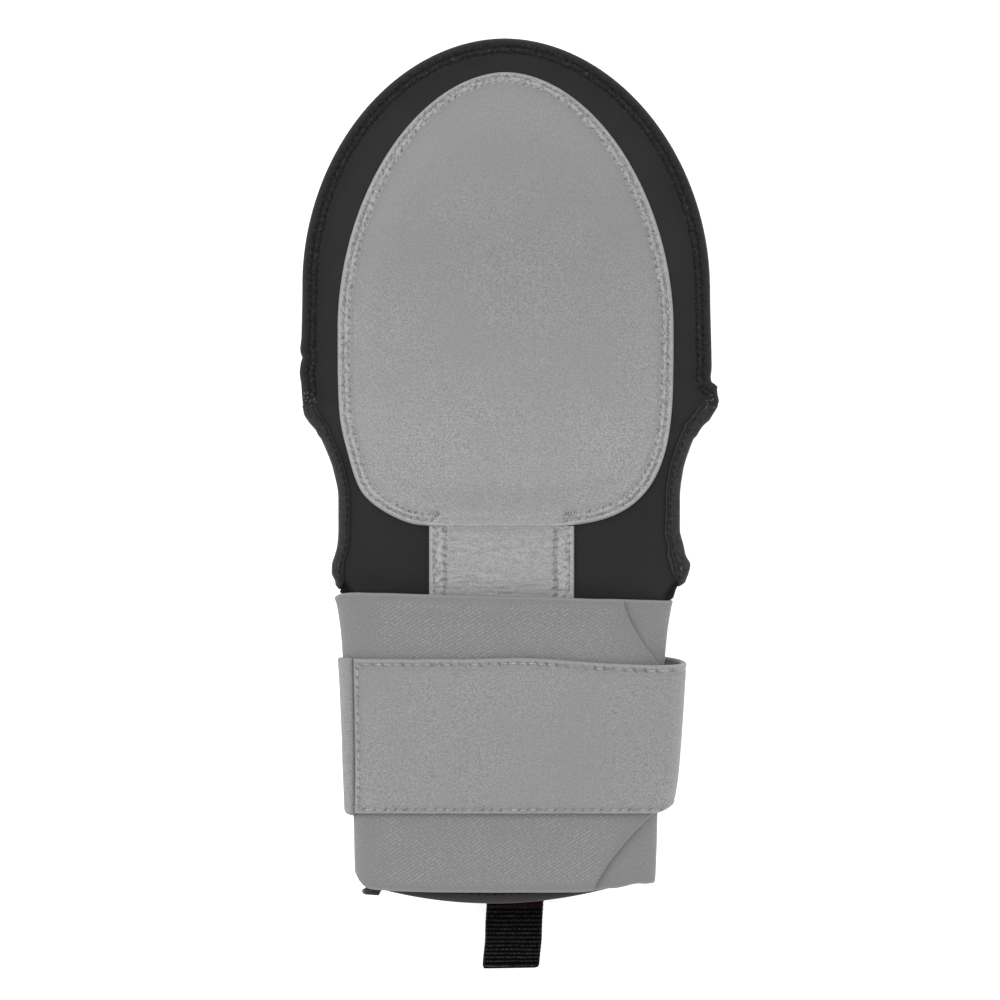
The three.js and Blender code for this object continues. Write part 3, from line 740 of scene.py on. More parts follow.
def shell(columns, rows, place):
    """A closed form of cloth: an outer and an inner face over the same columns and rows, which meet at
    the last row and wherever place() brings them together. place(column, row, face) gives a point, its
    place on the flat cloth, its distance from an edge and its length along that edge, all in
    millimetres."""
    bm = bmesh.new()
    cloth = bm.loops.layers.uv.new("cloth")
    edge = bm.verts.layers.float.new("edge")
    along = bm.verts.layers.float.new("along")
    steps = [(row, 1) for row in rows] + [(row, -1) for row in reversed(rows[:-1])]
    bmesh.ops.create_grid(bm, x_segments=len(columns) - 1, y_segments=len(steps) - 1, size=0.5)
    flat = {}
    for vert in bm.verts:
        column = columns[round((vert.co.x + 0.5) * (len(columns) - 1))]
        row, face = steps[round((vert.co.y + 0.5) * (len(steps) - 1))]
        vert.co, flat[vert], vert[edge], vert[along] = place(column, row, face)
    for face in bm.faces:
        face.smooth = True
        for loop in face.loops:
            loop[cloth].uv = Vector(flat[loop.vert]) * MM
    bmesh.ops.remove_doubles(bm, verts=bm.verts, dist=WELD)
    bmesh.ops.recalc_face_normals(bm, faces=bm.faces)
    if bm.calc_volume(signed=True) < 0:
        bmesh.ops.reverse_faces(bm, faces=bm.faces)
    return bm


def finish_piece(bm, name, material, nodes=()):
    """The finished piece, in metres, riding on the mitt in place of its solids."""
    bmesh.ops.scale(bm, vec=(MM, MM, MM), verts=bm.verts)
    mesh = bpy.data.meshes.new(name)
    bm.to_mesh(mesh)
    bm.free()
    mesh.materials.append(material)
    piece = bpy.data.objects.new(name, mesh)
    bpy.context.scene.collection.objects.link(piece)
    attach(piece, "root")
    if nodes:
        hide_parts(*nodes)
    return piece


def sew(bm, path, pitch, thread, marks=None, late=0.0, share=0.74, sink=0.35, wander=0.0):
    """Stitches of thread along a path of (point, outward direction), each half sunk in the cloth. marks
    are the lengths that the path's points stand for, and a stitch ends at each whole number of pitches,
    or late of them."""
    lengths = marks or lengths_along([point for point, _ in path])
    for number in range(math.ceil(lengths[0] / pitch - late), math.floor(lengths[-1] / pitch - late)):
        centre = (number + 0.5 + late) * pitch
        ends = []
        for where in (centre - pitch * share / 2, centre + pitch * share / 2):
            k = int(clamp(bisect_left(lengths, where) - 1, 0, len(lengths) - 2))
            part = (where - lengths[k]) / max(lengths[k + 1] - lengths[k], 1e-9)
            ends.append(path[k][0].lerp(path[k + 1][0], part))
        outward = path[k][1].normalized()
        forward = (ends[1] - ends[0]).normalized()
        side = outward.cross(forward).normalized()
        outward = forward.cross(side)
        middle = (ends[0] + ends[1]) / 2 + outward * thread * (0.5 - sink)
        middle += side * wander * noise.noise(middle)
        turned = forward * math.cos(TWIST) + side * math.sin(TWIST)
        axes = Matrix((turned, outward.cross(turned), outward)).transposed()
        place = Matrix.Translation(middle) @ axes.to_4x4()
        size = Matrix.Diagonal(((ends[1] - ends[0]).length / 2, thread / 2, thread / 2, 1))
        bmesh.ops.create_uvsphere(bm, u_segments=6, v_segments=5, radius=1, matrix=place @ size @ LYING)


def tack(bm, start, end, width, count, thread, surface, worn=0.0):
    """A bar tack from start to end in plan: a zigzag of short stitches, drawn tight. surface gives the
    path of places laid on what it is sewn to. Wear, up to 1, pulls the stitches short and out of line."""
    start, end = Vector(start), Vector(end)
    run = (end - start).normalized()
    side = Vector((-run.y, run.x)) * width / 2
    for i in range(count):
        centre = start.lerp(end, (i + 0.5) / count)
        lean = run * (end - start).length / count * (0.5 if i % 2 else -0.5)
        stray = noise.noise_vector(Vector((centre.x * 1.9, centre.y * 1.9, 7.3 * i))) * worn
        centre += side * WEAR["aside"] * stray.x + run * WEAR["ahead"] * stray.y
        reach = Matrix.Rotation(WEAR["turn"] * stray.z, 2) @ (side + lean) * (1 - WEAR["shorter"] * worn)
        ends = (centre - reach, centre + reach)
        length = (ends[1] - ends[0]).length
        path = surface([tuple(spot) for spot in ends])
        sew(bm, path, length, thread, marks=[0, length], share=0.95, sink=0.15)


def finish_sewing(bm, name, material):
    for vert in bm.verts:
        vert.co.z = max(0.0, vert.co.z)
    for face in bm.faces:
        face.smooth = True
    return finish_piece(bm, name, material)


def surface_path(places, height):
    """Points of a path in plan laid on a surface, with the surface's outward direction."""
    path, step = [], 0.3
    for x, y in places:
        slope_x = (height(x + step, y) - height(x - step, y)) / (2 * step)
        slope_y = (height(x, y + step) - height(x, y - step)) / (2 * step)
        path.append((Vector((x, y, height(x, y))), Vector((-slope_x, -slope_y, 1))))
    return path


def band_path(places, distance, shift=lambda turn, y: turn):
    """Points of a path given as (turn, y), laid on a band's outer face. shift gives the turn it lies at."""
    path = []
    for turn, y in places:
        at = shift(turn, y)
        _, outward = wrist_point(y, at)
        path.append((band_point(y, at, distance(turn, y)), Vector((outward.x, 0, outward.y))))
    return path


SMOOTH = {"interpolation_type": "SMOOTHSTEP"}
# A wave texture of this scale has one wave in each unit of length
ONE_WAVE = 0.3142


def add(tree, kind, inputs=(), out=0, **settings):
    """Adds a shader node with its settings. inputs are values, or the sockets that they come from, in the
    order of its sockets or by their identifiers. It gives one output, or the node itself where out is
    None."""
    made = tree.nodes.new("ShaderNode" + kind)
    for name, value in settings.items():
        setattr(made, name, value)
    if not isinstance(inputs, dict):
        inputs = {socket.identifier: value for socket, value in zip(made.inputs, inputs)}
    for socket in made.inputs:
        value = inputs.get(socket.identifier)
        if isinstance(value, bpy.types.NodeSocket):
            tree.links.new(value, socket)
        elif value is not None:
            socket.default_value = value
    if out is None:
        return made
    return next(socket for i, socket in enumerate(made.outputs) if out in (i, socket.identifier))


def start_material(name):
    """A new material, and its tree and shader."""
    material = bpy.data.materials.new(name)
    material.use_nodes = True
    tree = material.node_tree
    tree.nodes.clear()
    shader = add(tree, "BsdfPrincipled", out=None)
    add(tree, "OutputMaterial", (shader.outputs["BSDF"],), out=None)
    return material, tree, shader


def dress(tree, shader, colour, rough, relief, depth, specular, strength=0.6, sheen=0.0):
    """Gives the shader its colour and a relief of that depth in millimetres. rough is a pattern, and the
    roughness where it is 0 and where it is 1."""
    pattern, least, most = rough
    links = {
        "Base Color": colour,
        "Roughness": add(tree, "MapRange", (pattern, 0, 1, least, most)),
        "Normal": add(tree, "Bump", {"Height": relief, "Strength": strength, "Distance": depth * MM}),
    }
    for name, source in links.items():
        tree.links.new(source, shader.inputs[name])
    shader.inputs["Specular IOR Level"].default_value = specular
    shader.inputs["Sheen Weight"].default_value = sheen


def shade(colour, share):
    """The colour made lighter or darker."""
    return (*[clamp(c * share) for c in colour], 1)


def over(tree, base, colour, *shares):
    """Lays a colour over the base, as far as the product of the shares says."""
    share = shares[0]
    for other in shares[1:]:
        share = add(tree, "Math", (share, other), operation="MULTIPLY")
    colours = {"Factor_Float": share, "A_Color": base, "B_Color": colour}
    return add(tree, "Mix", colours, out="Result_Color", data_type="RGBA")


def layered(tree, base, colour, *layers):
    """Lays shades of a colour over the base. A layer is a shade and the shares that say how far it goes."""
    for tone, *shares in layers:
        base = over(tree, base, shade(colour, tone), *shares)
    return base


def raised(tree, height, *parts):
    """A relief of the first height and of parts, each times its number."""
    for part, times in parts:
        height = add(tree, "Math", (part, times, height), operation="MULTIPLY_ADD")
    return height


def near_row(tree, edge, row, width):
    """1 on a line at that distance from the edge, in millimetres, falling to 0 at the width."""
    off = add(tree, "Math", (edge, row), operation="SUBTRACT")
    off = add(tree, "Math", (off,), operation="ABSOLUTE")
    return add(tree, "MapRange", (off, width, width * 0.2), **SMOOTH)


def stitch_holes(tree, edge, rows, pitch):
    """1 at the needle holes of stitch rows at these distances from the edge, in millimetres. Each is a
    slanted nick between two stitches, made uneven by the pull of the thread, and every other row is half
    a stitch behind."""
    along = add(tree, "Attribute", out="Fac", attribute_name="along")
    place = add(tree, "TexCoord", out="Object")
    drift = add(tree, "TexNoise", {"Vector": place, "Scale": 1 / 0.0024, "Detail": 1})
    stitch = add(tree, "Math", (along, pitch), operation="DIVIDE")
    stitch = add(tree, "Math", (drift, 0.2, stitch), operation="MULTIPLY_ADD")
    holes = None
    for number, row in enumerate(rows):
        off = add(tree, "Math", (edge, row), operation="SUBTRACT")
        part = add(tree, "Math", (off, 0.2, stitch), operation="MULTIPLY_ADD")
        start = 0.4 + 0.5 * (number % 2)
        for operation, *term in (("ADD", start), ("FRACT",), ("SUBTRACT", 0.5), ("ABSOLUTE",)):
            part = add(tree, "Math", (part, *term), operation=operation)
        hole = add(tree, "MapRange", (part, 0.21, 0.08), **SMOOTH)
        hole = add(tree, "Math", (hole, near_row(tree, edge, row, 0.8)), operation="MULTIPLY")
        holes = hole if holes is None else add(tree, "Math", (holes, hole), operation="MAXIMUM")
    uneven_pull = add(tree, "MapRange", (drift, 0.35, 0.6, 0.35, 1))
    return add(tree, "Math", (holes, uneven_pull), operation="MULTIPLY")


def leather(name, colour, grain, rows, pitch, margin, margin_flecks_and_light, strip_shading=0.0):
    """Synthetic leather with a matt top coat, embossed with a fine pebble. The eye gets a soft broad
    sheen, a speckle at the pebble's size that fades where it is stretched over the fingertips, a tone
    that is paler towards the wrist, faint cloudy patches, slanted needle holes painted in shade, a
    puckered margin with pale flecks and painted shade in the pucker hollows, a painted highlight along
    the rolled edge, painted shade in the groove inside the rows and, where it bends with the wrist, fine
    creases drawn as painted shade and highlight, with painted shade on the strip below the guard's heel."""
    material, tree, shader = start_material(name)
    place = add(tree, "TexCoord", out="Object")
    edge = add(tree, "Attribute", out="Fac", attribute_name="edge")
    up = add(tree, "SeparateXYZ", (place,), out="Y")
    # The real pebble is about 0.3 mm wide, and is drawn twice as coarse so that it shows
    pebble = add(tree, "TexVoronoi", {"Vector": place, "Scale": 1 / grain}, feature="SMOOTH_F1")
    speckle = add(tree, "TexNoise", {"Vector": place, "Scale": 1 / grain, "Detail": 3, "Roughness": 0.75})
    cloud = add(tree, "TexNoise", {"Vector": place, "Scale": 1 / 0.034, "Detail": 2})
    base = layered(
        tree, shade(colour, 0.7), colour,
        (1.31, add(tree, "MapRange", (speckle, 0.36, 0.64))),
        (1, add(tree, "MapRange", (up, 0.08, 0.125, 0, 0.5))),
        (0.93, add(tree, "MapRange", (cloud, 0.32, 0.68, 0, 0.6))))
    if strip_shading:
        crease = add(tree, "Mapping", {"Vector": place, "Scale": (0.26, 1, 1)})
        crease = {"Vector": crease, "Scale": 1 / 0.0009, "Detail": 1.5, "Roughness": 0.5}
        crease = add(tree, "TexNoise", crease)
        # Painted shade in the creases, painted highlight on their ridges, and painted shade below the guard's
        # heel
        base = layered(
            tree, base, colour,
            (0.66, add(tree, "MapRange", (crease, 0.47, 0.34, 0, strip_shading))),
            (1.4, add(tree, "MapRange", (crease, 0.53, 0.66, 0, strip_shading))),
            (0.6, add(tree, "MapRange", (up, -0.0108, -0.0092, 0, strip_shading), **SMOOTH)))
    toned = {"Factor_Float": 1, "A_Color": base, "B_Color": add(tree, "MapRange", (up, 0.09, -0.02, 0.79, 1))}
    base = add(tree, "Mix", toned, out="Result_Color", data_type="RGBA", blend_type="MULTIPLY")
    # Puckers between the stitch rows, as on a twisted rope; their hollows are painted in shade
    margin_noise = add(tree, "TexNoise", {"Vector": place, "Scale": 1 / 0.0012, "Detail": 3, "Roughness": 0.7})
    inside = add(tree, "MapRange", (edge, margin, margin - 0.8), **SMOOTH)
    puckers = inside
    for share in (
        add(tree, "MapRange", (edge, 1.1, 1.7)),
        add(tree, "MapRange", (margin_noise, 0.47, 0.36, 0, margin_flecks_and_light)),
    ):
        puckers = add(tree, "Math", (puckers, share), operation="MULTIPLY")
    groove, width, depth = (4.1, 0.55, 0.42) if strip_shading else (margin + 0.2, 1, 0.36 * margin_flecks_and_light)
    holes = stitch_holes(tree, edge, rows, pitch)
    # Margin flecks; painted shade in pucker hollows, groove and needle holes; painted highlight on the rolled
    # edge
    base = layered(
        tree, base, colour,
        (1.4, inside, add(tree, "MapRange", (margin_noise, 0.4, 0.6, 0, margin_flecks_and_light))),
        (0.55, puckers),
        (1.25, add(tree, "MapRange", (edge, 1.3, 0.5, 0, 0.8 * margin_flecks_and_light), **SMOOTH)),
        (0.6, near_row(tree, edge, groove, width), depth),
        (0.32, holes, 0.62))
    height = raised(tree, speckle, (pebble, 0.6), (puckers, -1), (holes, -2.5))
    dress(tree, shader, base, (speckle, 0.55, 0.75), height, 0.16, 0.35, 0.55)
    return material


def stretch_cloth(name, colour, knit, rows, pitch):
    """Black nylon and elastane knit, laminated on thin foam. The eye gets a deep matt black with fine
    vertical columns of loops, a faint fuzz at the edges of the form, and a rougher, mottled sewn rim."""
    material, tree, shader = start_material(name)
    flat = add(tree, "UVMap", uv_map="cloth")
    edge = add(tree, "Attribute", out="Fac", attribute_name="edge")
    # The real loops are about 0.3 mm apart, and are drawn twice as coarse so that they show
    wave = {"Vector": flat, "Scale": ONE_WAVE / knit, "Distortion": 0.7, "Detail": 1}
    columns = add(tree, "TexWave", wave, out="Fac", bands_direction="X")
    wave["Scale"] *= 1.25
    courses = add(tree, "TexWave", wave, out="Fac", bands_direction="Y")
    loops = add(tree, "Math", (columns, courses), operation="MULTIPLY")
    fuzz = add(tree, "TexNoise", {"Vector": flat, "Scale": 1 / 0.0011, "Detail": 3, "Roughness": 0.6})
    cloud = add(tree, "TexNoise", {"Vector": flat, "Scale": 1 / 0.02, "Detail": 3})
    tone = add(tree, "Math", (fuzz, cloud), operation="ADD")
    base = over(tree, shade(colour, 0.86), shade(colour, 1.12), add(tree, "MapRange", (tone, 0.75, 1.25)))
    # Pulled and twisted loops make the sewn band of the rim blotchy
    mottle = add(tree, "TexNoise", {"Vector": flat, "Scale": 1 / 0.0013, "Detail": 3, "Roughness": 0.75})
    sewn = over(tree, shade(colour, 0.12), shade(colour, 1.55), add(tree, "MapRange", (mottle, 0.4, 0.6)))
    band = add(tree, "MapRange", (edge, 6.4, 5.2, 0, 0.66), **SMOOTH)
    base = over(tree, base, sewn, band, add(tree, "MapRange", (edge, 1.2, 2.6, 0.35, 1), **SMOOTH))
    # Painted glints: pale specks of lint and worn loops that catch the light beside the stitch rows
    lint_and_glints = add(tree, "TexVoronoi", {"Vector": flat, "Scale": 1 / 0.0021}, feature="F1")
    lint_and_glints = add(tree, "MapRange", (lint_and_glints, 0.17, 0.08, 0, 0.45))
    base = over(tree, base, (*linear("#6c6c6c"), 1), lint_and_glints, near_row(tree, edge, 4.1, 1.8))
    # The sleeve's turned hem is drawn a paler grey
    base = over(tree, base, shade(colour, 2.5), near_row(tree, edge, HEM_FROM + 2, 6), 0.8)
    # Painted shadow: the cloth is drawn black in the wrist's corners, deep in shade beside the cuff
    place = add(tree, "TexCoord", out="Object")
    aside = add(tree, "Math", (add(tree, "SeparateXYZ", (place,), out="X"),), operation="ABSOLUTE")
    up = add(tree, "SeparateXYZ", (place,), out="Y")
    aside = raised(tree, aside, (add(tree, "Math", (up, -0.032), operation="MAXIMUM"), -0.6))
    tucked = add(tree, "MapRange", (aside, 0.072, 0.0748), **SMOOTH)
    base = over(tree, base, (0, 0, 0, 1), tucked, add(tree, "MapRange", (up, -0.0262, -0.0288), **SMOOTH))
    holes = stitch_holes(tree, edge, rows, pitch)
    # Needle holes painted in shade
    base = over(tree, base, shade(colour, 0.1), holes, 0.9)
    height = raised(tree, fuzz, (loops, 0.6), (holes, -2.5))
    dress(tree, shader, base, (fuzz, 0.78, 0.95), height, 0.12, 0.2, 0.55, sheen=0.1)
    return material


def folded_tape(name, colour):
    """Woven polyester tape, pressed and folded over a raw edge. The eye gets a dark warm grey, fine
    lengthwise threads, and a pressed line inside its edge in painted shade, with a painted highlight on
    the fold beside it."""
    material, tree, shader = start_material(name)
    flat = add(tree, "UVMap", uv_map="cloth")
    edge = add(tree, "Attribute", out="Fac", attribute_name="edge")
    wave = {"Vector": flat, "Scale": ONE_WAVE / 0.0006, "Distortion": 1.2, "Detail": 1}
    threads = add(tree, "TexWave", wave, out="Fac", bands_direction="Y")
    fleck = add(tree, "TexNoise", {"Vector": flat, "Scale": 1 / 0.0012, "Detail": 3, "Roughness": 0.7})
    pressed = near_row(tree, edge, 0.95, 0.45)
    base = layered(
        tree, shade(colour, 0.55), colour,
        (1.38, add(tree, "MapRange", (fleck, 0.36, 0.64))),
        # Painted shade in the pressed line, and a painted highlight on the fold
        (0.25, pressed, 0.75),
        (1.7, near_row(tree, edge, 0.3, 0.35), 0.4))
    height = raised(tree, fleck, (threads, 0.5), (pressed, -2.5))
    dress(tree, shader, base, (fleck, 0.65, 0.85), height, 0.12, 0.22, sheen=0.06)
    return material


def woven_elastic(name, colour, twill, ribbed):
    """Polyester woven over rubber threads. The eye gets short fine diagonal ribs that rise to the right,
    thin upright rubber lines under them, and a smooth selvage. The ribs lie flat where the elastic turns
    under at the sides."""
    material, tree, shader = start_material(name)
    flat = add(tree, "UVMap", uv_map="cloth")
    edge = add(tree, "Attribute", out="Fac", attribute_name="edge")
    place = add(tree, "TexCoord", out="Object")
    turned = add(tree, "Mapping", {"Vector": flat, "Rotation": (0, 0, math.radians(TWILL_TURN))})
    wave = {"Vector": turned, "Scale": ONE_WAVE / twill, "Distortion": 1, "Detail": 2, "Detail Scale": 2.2}
    ribs = add(tree, "TexWave", wave, out="Fac", bands_direction="X")
    # The weave's floats break each rib into strokes a few millimetres long
    stroke = add(tree, "Mapping", {"Vector": turned, "Scale": (1, 0.8, 1)})
    stroke = add(tree, "TexNoise", {"Vector": stroke, "Scale": 1 / 0.0008, "Detail": 3, "Roughness": 0.6})
    wave = {"Vector": flat, "Scale": ONE_WAVE / 0.0011, "Distortion": 0.5}
    rubber = add(tree, "TexWave", wave, out="Fac", bands_direction="X")
    fibre = add(tree, "TexNoise", {"Vector": flat, "Scale": 1 / 0.0007, "Detail": 3, "Roughness": 0.65})
    cloud = add(tree, "TexNoise", {"Vector": flat, "Scale": 1 / 0.012, "Detail": 3})
    across = add(tree, "SeparateXYZ", (place,), out="X")
    for source, *limits in (
        (stroke, 0.4, 0.6, 0.08, 1),
        (cloud, 0.36, 0.54, 0.6, 1),
        (edge, 1.2, 4.5),
        (across, -0.052, -0.039, 0.15, 1),
        (across, 0.044, 0.028, 0.3, ribbed),
    ):
        share = add(tree, "MapRange", (source, *limits), **SMOOTH)
        ribs = add(tree, "Math", (ribs, share), operation="MULTIPLY")
    tone = raised(tree, add(tree, "MapRange", (fibre, 0.3, 0.7, 0, 0.4)), (ribs, 0.95))
    base = layered(
        tree, shade(colour, 0.85), colour,
        (1.42, tone),
        (1.3, add(tree, "MapRange", (edge, 1.1, 0.5, 0, 0.4), **SMOOTH)))
    height = raised(tree, tone, (rubber, 0.12), (ribs, 1))
    dress(tree, shader, base, (fibre, 0.75, 0.92), height, 0.13, 0.22, sheen=0.08)
    return material


def ribbed_webbing(name, colour, rib):
    """Nylon webbing woven with a cross rib. The eye gets a near black with faint cool dashes of painted
    highlight in rows where the thick threads crown, brighter towards the fold, and dark between the ribs."""
    material, tree, shader = start_material(name)
    flat = add(tree, "UVMap", uv_map="cloth")
    place = add(tree, "TexCoord", out="Object")
    edge = add(tree, "Attribute", out="Fac", attribute_name="edge")
    wave = {"Vector": flat, "Scale": ONE_WAVE / rib, "Distortion": 0.9, "Detail": 1, "Detail Scale": 0.6}
    ribs = add(tree, "TexWave", wave, out="Fac", bands_direction="Y")
    dash = add(tree, "Mapping", {"Vector": flat, "Scale": (1.25, 1.2, 1)})
    dash = add(tree, "TexNoise", {"Vector": dash, "Scale": 1 / 0.0008, "Detail": 3, "Roughness": 0.7})
    crown = add(tree, "MapRange", (ribs, 0.5, 0.9))
    lit = crown
    along = add(tree, "SeparateXYZ", (place,), out="Y")
    for limits in ((dash, 0.42, 0.66), (along, -0.148, -0.158, 0.55, 1)):
        lit = add(tree, "Math", (lit, add(tree, "MapRange", limits)), operation="MULTIPLY")
    # The lit dashes are painted highlights on the rib crowns
    base = over(tree, shade(colour, 0.2), (*linear("#424349"), 1), lit)
    side = add(tree, "MapRange", (edge, 0.9, 0.3, 0, 0.25), **SMOOTH)
    base = over(tree, base, (*linear("#3c3d42"), 1), side)
    dress(tree, shader, base, (lit, 0.85, 0.55), raised(tree, dash, (crown, 0.8)), 0.16, 0.06)
    return material


def sewing_thread(name, colour):
    """Bonded nylon sewing thread. The eye gets short raised strokes with a soft shine, uneven from one
    stitch to the next."""
    material, tree, shader = start_material(name)
    place = add(tree, "TexCoord", out="Object")
    strand = add(tree, "TexNoise", {"Vector": place, "Scale": 1 / 0.0005, "Detail": 2})
    stitch = add(tree, "TexNoise", {"Vector": place, "Scale": 1 / 0.003, "Detail": 1})
    tone = add(tree, "Math", (strand, stitch), operation="ADD")
    base = over(tree, shade(colour, 0.55), shade(colour, 1.3), add(tree, "MapRange", (tone, 0.7, 1.3)))
    dress(tree, shader, base, (strand, 0.5, 0.7), strand, 0.08, 0.2)
    return material


def pale_floor(name, colour):
    """Matt white acrylic, lit softly from below as on a packshot table. The eye gets an even white ground
    with only a trace of shadow."""
    material, tree, shader = start_material(name)
    place = add(tree, "TexCoord", out="Object")
    fibre = add(tree, "TexNoise", {"Vector": place, "Scale": 260, "Detail": 3})
    base = over(tree, shade(colour, 0.99), shade(colour, 1.01), fibre)
    dress(tree, shader, base, (fibre, 0.8, 0.9), fibre, 0.05, 0.2, 0.2)
    shader.inputs["Emission Color"].default_value = (1, 1, 1, 1)
    shader.inputs["Emission Strength"].default_value = FLOOR_GLOW
    return material


@lru_cache(maxsize=None)
def finish_of(name):
    """Each finish is made once, when the first piece asks for it."""
    sizes, colours = bpy.context.scene.mitt_sizes, bpy.context.scene.mitt_colours
    guard = (sizes.grain, GUARD_ROWS, sizes.guard_pitch / MM, 4.9, 0.7)
    strap = (sizes.grain, STRAP_ROWS, sizes.strap_pitch / MM, 2.2, 0.3)
    cloth = (sizes.knit, RIM_ROWS, sizes.guard_pitch / MM)
    finishes = {
        "cloth": (stretch_cloth, "black_stretch_cloth", colours.cloth, *cloth),
        "tape": (folded_tape, "folded_grey_tape", colours.tape),
        "guard": (leather, "grey_guard_leather", colours.guard, *guard),
        "strip": (leather, "grey_strip_leather", colours.guard, *guard, 0.26),
        "strap": (leather, "grey_strap_leather", colours.strap, *strap),
        "cuff": (woven_elastic, "grey_cuff_elastic", colours.elastic, sizes.twill, 0.2),
        "wrap": (woven_elastic, "grey_wrap_elastic", colours.elastic, sizes.twill, 1),
        "webbing": (ribbed_webbing, "black_ribbed_webbing", colours.webbing, sizes.rib),
        "light_thread": (sewing_thread, "grey_thread", colours.light_thread),
        "dark_thread": (sewing_thread, "black_thread", colours.dark_thread),
        "worn_thread": (sewing_thread, "worn_grey_thread", colours.worn_thread),
        "tack_thread": (sewing_thread, "dark_red_thread", colours.tack_thread),
        "floor": (pale_floor, "pale_studio_board", colours.floor),
    }
    maker, *settings = finishes[name]
    return maker(*settings)


def rim_share(y):
    """1 where the panels have their sewn rim, and 0 at the thumb holes and the wrist."""
    return smoothstep(y, 33, 38)


def panel_relief(x, y, edge):
    """How far a panel's outer face stands out of its plain section: the rolled rim and its two stitch
    rows."""
    rim = 0.25 * hump(edge, 1.7, 1.1) - 0.3 * sum(hump(edge, row, 0.5) for row in RIM_ROWS)
    rim += 0.3 * smoothstep(edge, 5, 8)
    return rim * rim_share(y) + 0.14 * uneven(x, y, 24) * smoothstep(edge, 2, 8)


def padded_panel(panel, name):
    columns = evenly(0, 1, 132)
    rows = [PANEL_END, PANEL_END + 0.3, PANEL_END + 1, -43, -40, -36, -33]
    rows += evenly(-31, 46, 92) + evenly(46, 76.5, 18)[1:] + [tip_y(a) for a in evenly(0, 90, 110)[1:]]
    apex = rows[-1]
    rim = rim_line()
    girths = {}

    def girth(y, across):
        if y not in girths:
            lengths = lengths_along([Vector(panel_face(panel, y, a)[:2]) for a in columns])
            girths[y] = [length - lengths[-1] / 2 for length in lengths]
        return girths[y][round(across * (len(columns) - 1))]

    def place(across, y, face):
        x, _, wall = panel_face(panel, y, across)
        edge, along = rim.near(x, y)
        if across in (0, 1) or y == apex:
            edge = 0.0
        end = y - PANEL_END
        lip = 1 - rounded(edge, RIM_ROUND)
        cut = 1 - rounded(end, 1.2)
        if face > 0:
            depth = max(-lip * wall * 0.97, -wall * 0.5) if y < 30 else -lip * wall * 0.97
            depth = min(depth, -cut * wall * 0.5)
            depth += panel_relief(x, y, edge) * (1 - lip) * (1 - cut)
            if panel == "palm":
                depth = min(depth, 0.15)
        else:
            depth = -wall * (1 - 0.5 * cut)
            depth = max(depth, -wall + 0.03 * lip * wall)
            if y < 30:
                depth = max(depth, -wall * (1 - 0.5 * lip))
        point = panel_point(panel, y, across, depth)
        point.z = max(0.0, point.z)
        return point, (girth(y, across), y), edge + NO_RIM * (1 - rim_share(y)), along

    bm = shell(columns, rows, place)
    return finish_piece(bm, name, finish_of("cloth"), [f"{panel}_panel"])


def tape_point(panel, side, y, share):
    """The middle of the tape's thickness. share runs from -1 at its edge inside the hole to 1 at its edge
    on the panel's outer face. Its upper end is tucked under the sewn rim."""
    section = section_at(panel, y)
    half = (section["right"] - section["left"]) / 2
    slant = (section_at(panel, y + 0.5)[side] - section_at(panel, y - 0.5)[side])
    stretch = lerp(1, min(1.4, math.sqrt(1 + slant**2)), smoothstep(y, -14, -6))
    start = TAPE["from"] - y
    tucked = smoothstep(y - TAPE["to_" + side], 0, TAPE["tuck"])
    past = lerp(-0.2, TAPE["past"], smoothstep(start, 0, 6.5) * tucked)
    off = lerp(-0.25, TAPE["clear"] + TAPE["thick"] / 2, smoothstep(start, 0, 4) * lerp(0.4, 1, tucked))

    def at(inward, depth, overhang=0.0):
        across = math.acos(clamp(1 - inward / half, -1, 1)) / math.pi
        across = across if side == "left" else 1 - across
        return panel_point(panel, y, across, depth, -overhang if side == "left" else overhang)

    wall = panel_face(panel, y, 0.0)[2]
    if abs(share) <= TAPE["fold"]:
        angle = math.radians(90 * share / TAPE["fold"])
        depth = -wall / 2 + (wall / 2 + off) * math.sin(angle)
        return at(TAPE["fold_from"], depth, (TAPE["fold_from"] + past) * math.cos(angle))
    leg = (abs(share) - TAPE["fold"]) / (1 - TAPE["fold"])
    reach = TAPE["reach_" + side] * stretch + 1.6 * smoothstep(y, 26, 34) + folds(side + "_tape", y)
    reach = lerp(1.3, reach, smoothstep(y - TAPE["to_" + side], 0, 5.5))
    inward = lerp(TAPE["fold_from"], reach, leg)
    flat = min(off, TAPE["pinch"] + TAPE["thick"] / 2)
    lift = lerp(off, flat, smoothstep(leg, 0.1, 1))
    wall_here = panel_face(panel, y, 0.02)[2]
    return at(inward, lift if share > 0 else -wall_here - lift)


def tape_out(panel, side, y, share):
    """Unit vector out of the tape's outer face."""
    before = tape_point(panel, side, y, max(-1, share - 0.02))
    after = tape_point(panel, side, y, min(1, share + 0.02))
    along = Vector((after.x - before.x, after.z - before.z)).normalized()
    turn = 1 if (side == "left") == (panel == "back") else -1
    return Vector((-along.y * turn, 0, along.x * turn))


